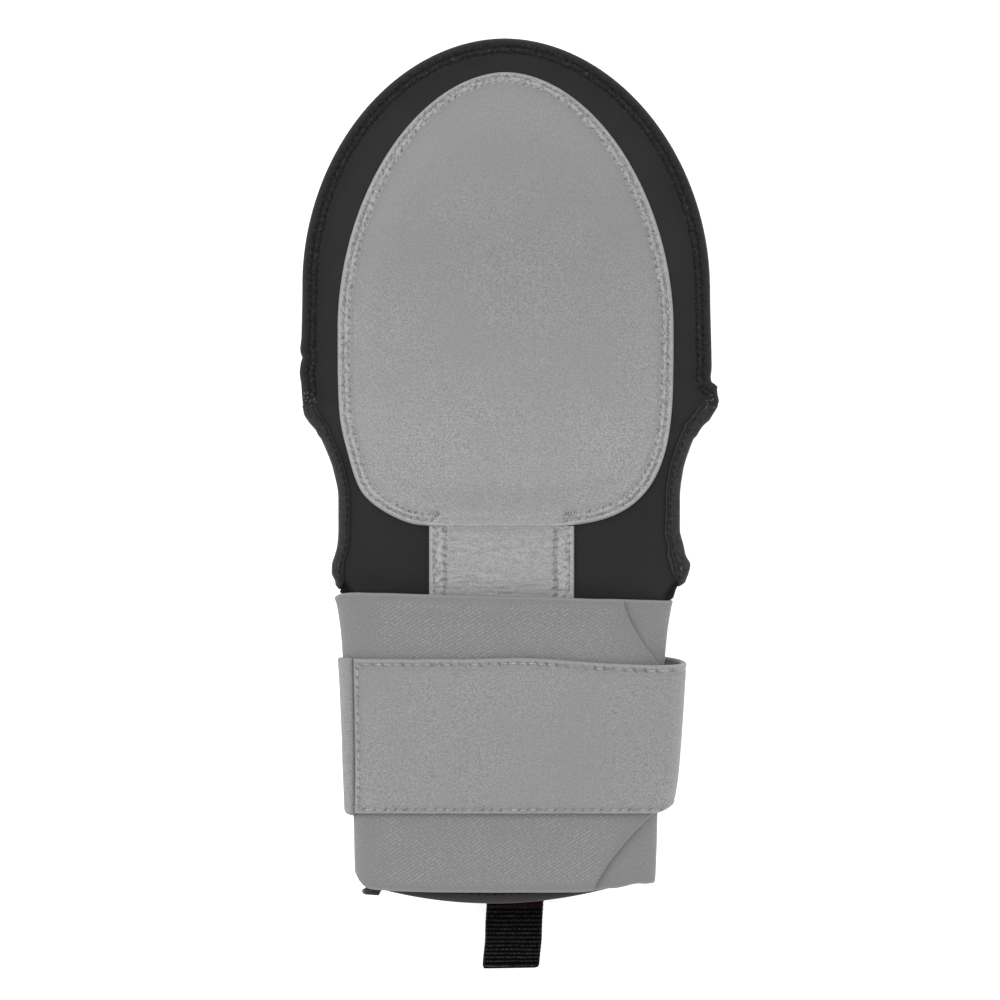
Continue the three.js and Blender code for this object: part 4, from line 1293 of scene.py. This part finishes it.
def thumb_tape(panel, side, name):
    low, high = TAPE["to_" + side], TAPE["from"]
    columns = near_ends(low, high, (0, 0.15, 0.4), 0.8, 96)
    rows = near_ends(-1, 1, (0, 0.015, 0.04, 0.07), 0.11, 40)

    def place(y, share, face):
        edge = (1 - abs(share)) * TAPE["width"] / 2
        whole = rounded(min(y - low, high - y), 0.8)
        out = face * TAPE["thick"] / 2 * rounded(edge, 0.5) * whole
        if face > 0:
            sewn = hump(edge, TAPE_ROW, 0.4)
            pucker = 0.07 * math.cos(2 * math.pi * y / 2.8) * hump(edge, TAPE_ROW, 1.2)
            pressed = -0.16 * hump(edge, 0.95, 0.35) - 0.14 * sewn
            out += (pressed + pucker) * whole * rounded(edge, 0.5)
        point = tape_point(panel, side, y, share) + tape_out(panel, side, y, share) * out
        return point, (y, share * TAPE["width"] / 2), edge, y

    bm = shell(columns, rows, place)
    return finish_piece(bm, name, finish_of("tape"), [f"{panel}_thumb_binding_{side}"])


def guard_rest(x, y, edge):
    """Height of the guard's underside, which lies close to the cloth along its sewn edge."""
    return back_height(x, y) + lerp(0.15, GUARD["clear"], smoothstep(edge, 1, 4))


def guard_surface(x, y, edge, along):
    """Height of the guard's face: rolled edge, two sunk stitch rows, and the padding's shoulder."""
    groove = bpy.context.scene.mitt_sizes.groove / MM
    first, second = guard_insets(y)
    pucker = 0.72 - 0.28 * math.cos(2 * math.pi * along / 2.8)
    sewn = 1 - heel_over_strip(x, y, 4, 7)
    relief = 0.3 * hump(edge, 0.9, 0.55)
    relief -= groove * sewn * (hump(edge, first, 0.4) + hump(edge, second, 0.42)) * pucker
    relief -= 0.18 * hump(edge, second + 1.3, 0.9) * smoothstep(y, 60, 10)
    relief += 0.12 * hump(edge, (first + second) / 2, 0.5)
    relief += 0.5 * smoothstep(edge, 14, 40) + 0.22 * uneven(x, y, 26, 2) * smoothstep(edge, 5, 12)
    roll = lerp(1.15, 0.12, heel_over_strip(x, y, -0.6, 0))
    return guard_rest(x, y, edge) + (guard_pad(x, y) + relief) * rounded(edge, roll)


def guard_insets(y):
    """Distances of the guard's two stitch rows from its edge, which are a little less over the
    fingertips."""
    near_tip = smoothstep(y, 105, 150)
    return GUARD_ROWS[0] - 0.7 * near_tip, GUARD_ROWS[1] - 0.6 * near_tip


def heel_over_strip(x, y, nothing, full):
    """1 where the guard's heel lies over the leather strip. It grows from nothing to full between these
    distances in from the strip's sides."""
    from_left, from_right = x - STRIP["left"], STRIP["right"] - x
    return smoothstep(from_left, nothing, full) * smoothstep(from_right, nothing, full) * smoothstep(y, 6, 0)


class MITT_OT_panels(bpy.types.Operator):
    """Makes the two padded cloth panels of the hand"""

    bl_idname = "mitt.panels"
    bl_label = "Panels"

    def execute(self, context):
        for panel, name in (("back", "back_cloth"), ("palm", "palm_cloth")):
            padded_panel(panel, name)
        return {"FINISHED"}


class MITT_OT_tapes(bpy.types.Operator):
    """Makes the tapes folded over the edges of the thumb holes"""

    bl_idname = "mitt.tapes"
    bl_label = "Thumb Hole Tapes"

    def execute(self, context):
        for panel in ("back", "palm"):
            for side, flat in (("left", (0.0133, 0.0645)), ("right", (0.0158, 0.0635))):
                piece = thumb_tape(panel, side, f"{panel}_tape_{side}")
        return {"FINISHED"}


class MITT_OT_guard(bpy.types.Operator):
    """Makes the padded leather guard on the back of the hand"""

    bl_idname = "mitt.guard"
    bl_label = "Leather Guard"

    def execute(self, context):
        line = guard_line()
        steps = 520
        columns = evenly(0, line.length, steps)
        places = [(line.place(c), line.inward(c)) for c in columns]
        centre = Vector((GUARD["centre_x"], 66))
        # Rows are distances in from the edge as far as deep, and past it shares of the way to the centre
        deep, to_centre = 9.0, 45
        rows = [
            1, 0.985, 0.96, 0.93, 0.89, 0.85, 0.8, 0.75, 0.7, 0.64, 0.58, 0.52, 0.46, 0.4, 0.34, 0.29, 0.24,
            0.19, 0.15, 0.11, 0.07, 0.035,
        ]
        rows = [deep + share for share in rows]
        rows += [
            9, 8.2, 7.5, 6.9, 6.4, 6, 5.6, 5.3, 5, 4.7, 4.4, 4.2, 4, 3.8, 3.6, 3.3, 3, 2.7, 2.4, 2.2, 2, 1.8,
            1.6, 1.35, 1.1, 0.85, 0.6, 0.4, 0.25, 0.12, 0.04, 0,
        ]

        def place(column, row, face):
            edge_place, inward = places[round(column / line.length * steps)]
            if row <= deep:
                spot = edge_place + inward * row
                edge = row
            else:
                spot = (edge_place + inward * deep).lerp(centre, row - deep)
                edge = deep + (row - deep) * to_centre
            x, y = spot
            z = guard_surface(x, y, edge, column) if face > 0 else guard_rest(x, y, edge)
            # The finish draws its stitch holes at the plain rows
            first, second = guard_insets(y)
            edge += (GUARD_ROWS[0] - first) * min(1, edge / first)
            edge += (GUARD_ROWS[1] - second - GUARD_ROWS[0] + first) * smoothstep(edge, first, second)
            edge += NO_HOLES * heel_over_strip(x, y, 4, 7) * smoothstep(edge, 0.9, 1.3)
            return Vector((x, y, z)), (x, y), edge, column

        bm = shell(columns, rows, place)
        piece = finish_piece(bm, "guard_leather_pad", finish_of("guard"), ["leather_guard"])
        return {"FINISHED"}


def strip_surface(x, y):
    """Height of the leather strip's face: a rolled edge, two stitch rows and a groove down each side."""
    left, right = x - STRIP["left"], STRIP["right"] - x
    near, rows = (left, STRIP_ROWS[0]) if left < right else (right, STRIP_ROWS[1])
    up = smoothstep(y, STRIP["start"] - 24, STRIP["start"] - 18)
    relief = (0.35 * hump(near, rows[0] - 1.1, 0.8) + 0.3 * hump(near, (rows[0] + rows[1]) / 2, 1.1)) * up
    relief -= 0.3 * (hump(near, rows[0], 0.45) + 1.3 * hump(near, rows[1], 0.55)) * up
    crease = noise.noise(Vector((x / 8, y / 1.3, 4))) + 0.7 * noise.noise(Vector((x / 5, y / 0.8, 8)))
    relief += 0.24 * crease * smoothstep(near, rows[1], rows[1] + 2)
    relief += 0.35 * smoothstep(near, rows[1], rows[1] + 4) * up
    return back_height(x, y) + GAP + STRIP["thick"] + relief


class MITT_OT_strip(bpy.types.Operator):
    """Makes the leather strip from the guard to under the cuff"""

    bl_idname = "mitt.strip"
    bl_label = "Leather Strip"

    def execute(self, context):
        left, right, end, start = (STRIP[name] for name in ("left", "right", "end", "start"))
        columns = near_ends(left, right, (0, 0.06, 0.18, 0.35, 0.6, 0.9), 1.2, 96)
        rows = [end, end + 0.2, end + 0.6] + evenly(end + 1.2, start - 1, 90)
        rows += [start - 0.5, start - 0.15, start]

        def place(x, y, face):
            near = min(x - left, right - x)
            full = rounded(near, 0.9) * rounded(min(y - end, start - y), 0.05)
            rest = back_height(x, y) + lerp(0.12, GAP, smoothstep(near, 0.5, 2))
            top = strip_surface(x, y)
            # The finish draws its stitch holes at the guard's rows
            first, second = STRIP_ROWS[0] if x - left < right - x else STRIP_ROWS[1]
            edge = near * GUARD_ROWS[0] / first
            if near > first:
                edge = lerp(*GUARD_ROWS, (near - first) / (second - first))
            return Vector((x, y, rest + (top - rest) * full if face > 0 else rest)), (x, y), edge, y

        bm = shell(columns, rows, place)
        piece = finish_piece(bm, "strip_leather", finish_of("strip"), ["leather_strip"])
        return {"FINISHED"}


def band_rows(steps):
    """Shares of a band's width, close together at both its edges."""
    return near_ends(0, 1, (0, 0.0015, 0.004, 0.008, 0.013), 0.02, steps)


class MITT_OT_sleeve(bpy.types.Operator):
    """Makes the cloth sleeve inside the cuff, with its turned hem"""

    bl_idname = "mitt.sleeve"
    bl_label = "Wrist Sleeve"

    def execute(self, context):
        columns = turns_between(0, 360, 0.95)
        middle = -SLEEVE["clear"] - SLEEVE["thick"] / 2

        def place(turn, share, face):
            foot = open_end(turn)
            y = lerp(foot, SLEEVE["start"], share)
            edge = y - foot
            end = SLEEVE["start"] - y
            thick = SLEEVE["thick"] / 2 * rounded(edge, 1.3) * rounded(end, 0.8)
            sewn = -0.25 * hump(edge, SLEEVE["hem_row"], 0.5) - 0.2 * smoothstep(edge, 6, 8)
            corner = OPEN_END["flare"] * hump(turn, 196, 15) * smoothstep(-y, 133.6, 135.4)
            out = middle + corner + face * (thick + sewn * rounded(edge, 1.3))
            return band_point(y, turn, out), (girth_at(turn), y), edge + HEM_FROM, turn

        bm = shell(columns, band_rows(70), place)
        piece = finish_piece(bm, "wrist_sleeve_cloth", finish_of("cloth"), ["wrist_sleeve"])
        return {"FINISHED"}


def elastic_band(name, node, columns, top, foot, inner, thick):
    """A band of elastic round the wrist, with thin woven edges."""
    ends = (columns[0], columns[-1])
    closed = abs(ends[1] - ends[0] - 360) < 1e-6

    def place(turn, share, face):
        high, low = top(turn), foot(turn)
        y = lerp(low, high, share)
        side = 1e9 if closed else min(abs(girth_at(turn) - girth_at(e)) for e in ends)
        edge = min(high - y, y - low)
        half = thick / 2 * rounded(edge, 0.8) * rounded(side, 0.8)
        angle = math.radians(turn)
        swell = 0.12 * uneven(45 * math.cos(angle), y + 30 * math.sin(angle), 11, 6)
        swell *= smoothstep(min(edge, side), 1, 4)
        distance = inner + thick / 2 + face * half + (swell if face > 0 else 0)
        return band_point(y, turn, distance), (girth_at(turn), y), min(edge, side), girth_at(turn)

    bm = shell(columns, band_rows(74), place)
    return finish_piece(bm, name, finish_of(name.split("_")[0]), [node])


class MITT_OT_cuff(bpy.types.Operator):
    """Makes the elastic cuff"""

    bl_idname = "mitt.cuff"
    bl_label = "Elastic Cuff"

    def execute(self, context):
        columns = turns_between(0, 360, 1.1)
        piece = elastic_band(
            "cuff_elastic", "elastic_cuff", columns, cuff_top, cuff_foot, CUFF["inner"], CUFF["thick"])
        return {"FINISHED"}


class MITT_OT_wrap(bpy.types.Operator):
    """Makes the elastic wrap with its tapered right end"""

    bl_idname = "mitt.wrap"
    bl_label = "Elastic Wrap"

    def execute(self, context):
        columns = turns_between(0, wrap_end(), 0.9)
        piece = elastic_band(
            "wrap_elastic", "elastic_wrap", columns, wrap_top, wrap_foot, WRAP["inner"], WRAP["thick"])
        return {"FINISHED"}


def strap_surface(turn, y):
    """Distance of the strap's outer face from the inside of the cuff, with its stitch rows sunk."""
    side = min(abs(girth_at(turn) - girth_at(end)) for end in strap_ends())
    edge = strap_edge(turn, y, side)
    groove = 0.3 * hump(edge, STRAP_ROWS[0], 0.45)
    swell = 0.2 * uneven(girth_at(turn), y, 17, 9) * smoothstep(edge, 1, 5)
    return strap_inner(turn, y) + STRAP["thick"] + 0.15 * hump(edge, 0.7, 0.4) - groove + swell


def strap_edge(turn, y, side):
    """Distance from the strap's edges. The upper one counts less, so that its stitches lie further in."""
    return min((strap_top(turn) - y) * 0.7, y - strap_foot(turn), side)


class MITT_OT_strap(bpy.types.Operator):
    """Makes the leather strap that closes the wrist"""

    bl_idname = "mitt.strap"
    bl_label = "Closure Strap"

    def execute(self, context):
        start, palm_end = strap_ends()
        columns = turns_between(palm_end, start, 0.95)
        last = girth_at(palm_end)

        def place(turn, share, face):
            high, low = strap_top(turn), strap_foot(turn)
            y = lerp(low, high, share)
            side = min(abs(girth_at(start) - girth_at(turn)), abs(girth_at(turn) - last))
            edge = strap_edge(turn, y, side)
            outer = strap_surface(turn, y)
            inner = strap_inner(turn, y)
            full = rounded(min(high - y, y - low, side * (12 if turn > 0 else 1)), 0.85)
            middle = (outer + inner) / 2
            distance = middle + face * (outer - inner) / 2 * full
            along = y if side < min(high - y, y - low) else girth_at(turn)
            return band_point(y, leaned(turn, y), distance), (girth_at(turn), y), edge, along

        bm = shell(columns, band_rows(76), place)
        piece = finish_piece(bm, "strap_leather_band", finish_of("strap"), ["closure_strap"])
        return {"FINISHED"}


class MITT_OT_anchor(bpy.types.Operator):
    """Makes the leather band that the strap is sewn to"""

    bl_idname = "mitt.anchor"
    bl_label = "Strap Anchor"

    def execute(self, context):
        start, palm_end = anchor_ends()
        columns = turns_between(start, palm_end, 1.1)

        def place(turn, share, face):
            high = STRAP_TOP + 0.3 + 0.1 * uneven(girth_at(turn), 0, 7, 11)
            low = STRAP_FOOT - 0.9 * hump(girth_at(turn) - girth_at(start), 0.5, 2.2)
            low += 1.7 * smoothstep(girth_at(turn) - girth_at(start), 1.5, 6)
            y = lerp(low, high, share)
            side = min(12 * abs(girth_at(turn) - girth_at(start)), abs(girth_at(turn) - girth_at(palm_end)))
            edge = min(high - y, y - low, side)
            inner = anchor_inner(turn, y)
            half = ANCHOR["thick"] / 2 * rounded(edge, 0.75)
            swell = 0.12 * uneven(girth_at(turn), y, 14, 13) * smoothstep(edge, 1, 4)
            distance = inner + ANCHOR["thick"] / 2 + face * half + (swell if face > 0 else 0)
            flat = (girth_at(turn), y)
            return band_point(y, leaned(turn, y), distance), flat, edge + NO_STRAP_HOLES, girth_at(turn)

        bm = shell(columns, band_rows(64), place)
        piece = finish_piece(bm, "anchor_leather_band", finish_of("strap"), ["strap_anchor"])
        return {"FINISHED"}


@lru_cache(maxsize=None)
def loop_path():
    """Middle of the webbing, from its root along the lower ply, round the fold and back along the upper
    ply."""
    reach = LOOP["root"] - LOOP["tip"]

    def height(share):
        return lerp(LOOP["root_height"], LOOP["tip_height"], smoothstep(share, LOOP["apart"], 1))

    def half_ply(share):
        opened = clamp((share - LOOP["apart"]) / (LOOP["closed"] - LOOP["apart"]))
        return (LOOP["thick"] + GAP) / 2 + LOOP["bulge"] * math.sin(math.pi * opened) ** 2

    fold = LOOP["fold"]
    fold_y = LOOP["root"] - reach * fold
    fold_reach = fold_y - LOOP["thick"] / 2 - LOOP["tip"]
    shares = evenly(0, fold, 110)
    lower = [Vector((LOOP["root"] - reach * s, height(s) - half_ply(s))) for s in shares]
    upper = [Vector((LOOP["root"] - reach * s, height(s) + half_ply(s))) for s in shares]
    turned = []
    for degrees in evenly(-84, 84, 28):
        angle = math.radians(degrees)
        z = height(fold) + half_ply(fold) * math.sin(angle)
        turned.append(Vector((fold_y - fold_reach * math.cos(angle), z)))
    return lower + turned + upper[::-1]


def loop_place(index, across, out):
    """Point of the webbing at a step of its path, at a distance across it and out of its middle."""
    path = loop_path()
    before, after = path[max(0, index - 1)], path[min(len(path) - 1, index + 1)]
    normal = Vector((before.y - after.y, after.x - before.x)).normalized()
    y, z = path[index]
    share = clamp((LOOP["root"] - y) / (LOOP["root"] - LOOP["tip"]))
    centre = LOOP["x"] + LOOP["lean"] * share + 0.25 * hump(y, -153, 4)
    return Vector((centre + across, y + normal.x * out, z + normal.y * out)), Vector((0, normal.x, normal.y))


class MITT_OT_pull_loop(bpy.types.Operator):
    """Makes the folded webbing loop and the tack across it"""

    bl_idname = "mitt.pull_loop"
    bl_label = "Pull Loop"

    def execute(self, context):
        path = loop_path()
        lengths = lengths_along(path)
        rib = context.scene.mitt_sizes.rib / MM
        half_width = LOOP["width"] / 2

        def place(step, across, face):
            length = lengths[step]
            ribbed = 0.5 + 0.5 * math.cos(2 * math.pi * length / rib)
            edge = half_width - abs(across)
            end = min(length, lengths[-1] - length)
            thick = (LOOP["thick"] / 2 - 0.14 * (1 - ribbed)) * rounded(edge, 0.6) * rounded(end, 0.6)
            out = face * thick
            reach = across * (1 - 0.012 * (1 - ribbed))
            point = loop_place(step, reach, out)[0]
            # The fold's corners are rounded, the right one more, and it slants a little
            corner = 1.1 * (1 - rounded(edge, 1.7 if across > 0 else 0.9))
            point.y += smoothstep(point.y, LOOP["tip"] + 4, LOOP["tip"]) * (corner + 0.018 * across - 0.2)
            return point, (across, length), edge, length

        rows = near_ends(-half_width, half_width, (0, 0.08, 0.2, 0.4, 0.7), 1, 24)
        bm = shell(list(range(len(path))), rows, place)
        piece = finish_piece(bm, "loop_webbing", finish_of("webbing"), ["pull_loop"])

        bm = bmesh.new()
        row = [i for i in range(len(path) // 2, len(path)) if abs(path[i].x - LOOP["tack_y"]) < 0.35]
        spot = row[len(row) // 2]
        for across in evenly(-9.5, 9.5, 33):
            centre, outward = loop_place(spot, across, LOOP["thick"] / 2)
            centre.y += 0.03 * across
            run = Vector((0.3, 1, 0)).normalized() * 0.5
            ends = [(centre - run, outward), (centre + run, outward)]
            sew(bm, ends, 1, 0.45, marks=[0, 1], share=0.95, sink=0.3)
        finish_sewing(bm, "loop_tack_thread", finish_of("tack_thread"))
        return {"FINISHED"}


def offset_path(line, start, end, inset, spacing=0.4):
    """Places in plan at an inset from a line, which may change with y, and their lengths along it."""
    places, lengths = [], evenly(start, end, max(2, round((end - start) / spacing)))
    for length in lengths:
        here = line.place(length)
        spot = line.inset(length, inset(here.y) if callable(inset) else inset)
        places.append((spot.x, spot.y))
    return places, lengths


class MITT_OT_guard_stitching(bpy.types.Operator):
    """Sews the guard and the leather strip with grey thread"""

    bl_idname = "mitt.guard_stitching"
    bl_label = "Guard Stitching"

    def execute(self, context):
        sizes = context.scene.mitt_sizes
        thread, pitch = sizes.thread / MM, sizes.guard_pitch / MM
        line = guard_line()
        bm = bmesh.new()

        def height(x, y):
            edge, along = line.near(x, y)
            return guard_surface(x, y, edge, along)

        for number, (start, end) in enumerate(GUARD_ROW_ENDS):
            def inset(y, number=number):
                return guard_insets(y)[number]

            places, marks = offset_path(line, start, line.length - end, inset)
            sew(bm, surface_path(places, height), pitch, thread, marks, number / 2, wander=0.1)
        # The rows are locked with a short bar tack at each side of the strip
        for x, y in HEEL_TACKS:
            ends = ((x - 1.6, y), (x + 1.6, y + 0.2))
            tack(bm, *ends, 2.2, 6, thread * 0.8, lambda spots: surface_path(spots, height))
        for side, rows in zip(("left", "right"), STRIP_ROWS):
            for number, row in enumerate(rows):
                x = STRIP["left"] + row if side == "left" else STRIP["right"] - row
                marks = evenly(STRIP["start"] - 25, STRIP["start"] - 0.8, 60)
                path = surface_path([(x, y) for y in marks], strip_surface)
                sew(bm, path, pitch, thread, marks, number / 2, wander=0.1)
        finish_sewing(bm, "guard_thread", finish_of("light_thread"))
        return {"FINISHED"}


def panel_height(panel):
    def height(x, y):
        edge, _ = rim_line().near(x, y)
        across = across_at(panel, x, y)
        out = panel_relief(x, y, edge)
        z = panel_face(panel, y, across)[1]
        return z + out if panel == "back" else z - out
    return height


def sew_rim(pitch, thread):
    """Two rows round the fingertips on each panel, from thumb hole to thumb hole."""
    rim = rim_line()
    first = rim.near(section_at("back", 37.0)["left"], 37)[1]
    last = rim.near(section_at("back", 38.0)["right"], 38)[1]
    bm = bmesh.new()
    for panel in ("back", "palm"):
        for number, row in enumerate(RIM_ROWS):
            places, marks = offset_path(rim, first, last, row)
            path = surface_path(places, panel_height(panel))
            if panel == "palm":
                path = [(point, Vector((out.x, out.y, -1))) for point, out in path]
            sew(bm, path, pitch, thread, marks, number / 2, wander=0.16)
    finish_sewing(bm, "rim_thread", finish_of("dark_thread"))


def sew_tapes(pitch, thread):
    """A row along the inner edge of each tape."""
    share = 1 - TAPE_ROW * 2 / TAPE["width"]
    bm = bmesh.new()
    for panel in ("back", "palm"):
        for side in ("left", "right"):
            path = []
            for y in evenly(TAPE["to_" + side] + 2, TAPE["from"] - 3, 110):
                outward = tape_out(panel, side, y, share)
                middle = tape_point(panel, side, y, share)
                path.append((middle + outward * (TAPE["thick"] / 2 - 0.12), outward))
            sew(bm, path, pitch, thread * 0.85, wander=0.1)
    finish_sewing(bm, "tape_thread", finish_of("dark_thread"))


def sew_ears(thread):
    """Bar tacks that hold the ears of the panels over the tapes, and a stitch at the tapes' lower ends."""
    back = panel_height("back")
    bm = bmesh.new()
    for ends in EAR_TACKS:
        tack(bm, *ends, 3.4, 14, thread, lambda spots: surface_path(spots, back), worn=0.85)
    for side, low, high in TAPE_ENDS:
        path = []
        for y in (low, high):
            outward = tape_out("back", side, y, 0.62)
            path.append((tape_point("back", side, y, 0.62) + outward * TAPE["thick"] / 2, outward))
        sew(bm, path, high - low, thread, marks=[0, high - low], share=0.9, sink=0.2)
    finish_sewing(bm, "ear_thread", finish_of("worn_thread"))


def sew_hem(pitch, thread):
    """A row round the sleeve's open end."""
    outer = -SLEEVE["clear"] - 0.25
    places = [(turn, open_end(turn) + SLEEVE["hem_row"]) for turn in turns_between(0, 360, 1.5)]
    bm = bmesh.new()
    sew(bm, band_path(places, lambda turn, y: outer), pitch, thread, wander=0.1)
    finish_sewing(bm, "hem_thread", finish_of("dark_thread"))


class MITT_OT_panel_stitching(bpy.types.Operator):
    """Sews the rim, the tapes and the sleeve's hem with black thread"""

    bl_idname = "mitt.panel_stitching"
    bl_label = "Panel Stitching"

    def execute(self, context):
        sizes = context.scene.mitt_sizes
        thread, pitch = sizes.thread / MM, sizes.guard_pitch / MM
        sew_rim(pitch, thread)
        sew_tapes(pitch, thread)
        sew_ears(thread)
        sew_hem(pitch, thread)
        return {"FINISHED"}


class MITT_OT_strap_stitching(bpy.types.Operator):
    """Sews the strap with grey thread"""

    bl_idname = "mitt.strap_stitching"
    bl_label = "Strap Stitching"

    def execute(self, context):
        sizes = context.scene.mitt_sizes
        thread, pitch = sizes.thread / MM, sizes.strap_pitch / MM
        start, palm_end = strap_ends()
        row = STRAP_ROWS[0]
        bm = bmesh.new()
        side, tab = turn_at_girth(girth_at(start) - row), turn_at_girth(girth_at(palm_end) + row)
        turns = turns_between(tab, side, 0.8)
        marks = [girth_at(t) for t in turns]
        for place in (lambda t: strap_top(t) - row / 0.7, lambda t: strap_foot(t) + row):
            path = band_path([(t, place(t)) for t in turns], strap_surface, leaned)
            sew(bm, path, pitch, thread * 1.15, marks, share=0.8, sink=0.25, wander=0.16)
        for t in (side, tab):
            marks = evenly(strap_foot(t) + row + 0.6, strap_top(t) - row / 0.7 - 0.6, 60)
            path = band_path([(t, y) for y in marks], strap_surface, leaned)
            sew(bm, path, pitch, thread * 1.15, marks, share=0.8, sink=0.25, wander=0.16)
        finish_sewing(bm, "strap_thread", finish_of("light_thread"))
        return {"FINISHED"}


class MITT_OT_studio(bpy.types.Operator):
    """Makes the floor, the lights and the camera"""

    bl_idname = "mitt.studio"
    bl_label = "Studio"

    def execute(self, context):
        scene = context.scene
        bm = bmesh.new()
        bmesh.ops.create_grid(bm, x_segments=8, y_segments=8, size=FLOOR_SIZE)
        mesh = bpy.data.meshes.new("studio_floor")
        bm.to_mesh(mesh)
        bm.free()
        mesh.materials.append(finish_of("floor"))
        floor = bpy.data.objects.new("studio_floor", mesh)
        scene.collection.objects.link(floor)

        world = bpy.data.worlds.new("studio_air")
        world.use_nodes = True
        air = world.node_tree.nodes["Background"].inputs
        air["Color"].default_value = (1, 1, 1, 1)
        air["Strength"].default_value = AIR_LIGHT
        scene.world = world
        scene.view_settings.view_transform = "Standard"

        for name, softbox in SOFTBOXES.items():
            light = bpy.data.lights.new(name, "AREA")
            light.shape = "SQUARE"
            light.size = softbox["size"]
            light.energy = softbox["energy"]
            lamp = bpy.data.objects.new(name, light)
            lamp.location = softbox["place"]
            lamp.rotation_mode = "QUATERNION"
            lamp.rotation_quaternion = (-Vector(softbox["place"])).to_track_quat("-Z", "Y")
            lamp.visible_camera = False
            scene.collection.objects.link(lamp)

        lens = bpy.data.cameras.new("copy_stand")
        lens.sensor_width = CAMERA["sensor"]
        lens.lens = CAMERA["sensor"] * CAMERA["height"] / CAMERA["field"]
        lens.clip_start, lens.clip_end = 0.1, 20
        camera = bpy.data.objects.new("copy_stand", lens)
        camera.location = Vector((*CAMERA["aim"], CAMERA["height"] + CAMERA["back"])) * MM
        scene.collection.objects.link(camera)
        scene.camera = camera
        return {"FINISHED"}


class MITT_PT_mitt(bpy.types.Panel):
    """Lists the mitt's colours, its sizes and the operators that make its pieces"""

    bl_idname = "MITT_PT_mitt"
    bl_label = "Sliding Mitt"
    bl_space_type = "VIEW_3D"
    bl_region_type = "UI"
    bl_category = "Mitt"

    def draw(self, context):
        for group in (context.scene.mitt_colours, context.scene.mitt_sizes):
            box = self.layout.box()
            for name in group.bl_rna.properties.keys():
                if name not in ("rna_type", "name"):
                    box.prop(group, name)
        column = self.layout.column()
        for piece in PIECES:
            column.operator(piece.bl_idname)


PIECES = (
    MITT_OT_studio, MITT_OT_panels, MITT_OT_tapes, MITT_OT_guard, MITT_OT_strip, MITT_OT_sleeve, MITT_OT_cuff,
    MITT_OT_wrap, MITT_OT_anchor, MITT_OT_strap, MITT_OT_pull_loop, MITT_OT_guard_stitching,
    MITT_OT_panel_stitching, MITT_OT_strap_stitching,
)
CLASSES = (MittSizes, MittColours, *PIECES, MITT_PT_mitt)


def register():
    for made in CLASSES:
        bpy.utils.register_class(made)
    bpy.types.Scene.mitt_sizes = PointerProperty(type=MittSizes)
    bpy.types.Scene.mitt_colours = PointerProperty(type=MittColours)


def unregister():
    del bpy.types.Scene.mitt_colours
    del bpy.types.Scene.mitt_sizes
    for made in reversed(CLASSES):
        bpy.utils.unregister_class(made)


def main():
    register()
    for piece in PIECES:
        group, name = piece.bl_idname.split(".")
        getattr(getattr(bpy.ops, group), name)()
    bpy.context.view_layer.update()


if __name__ == "__main__":
    main()
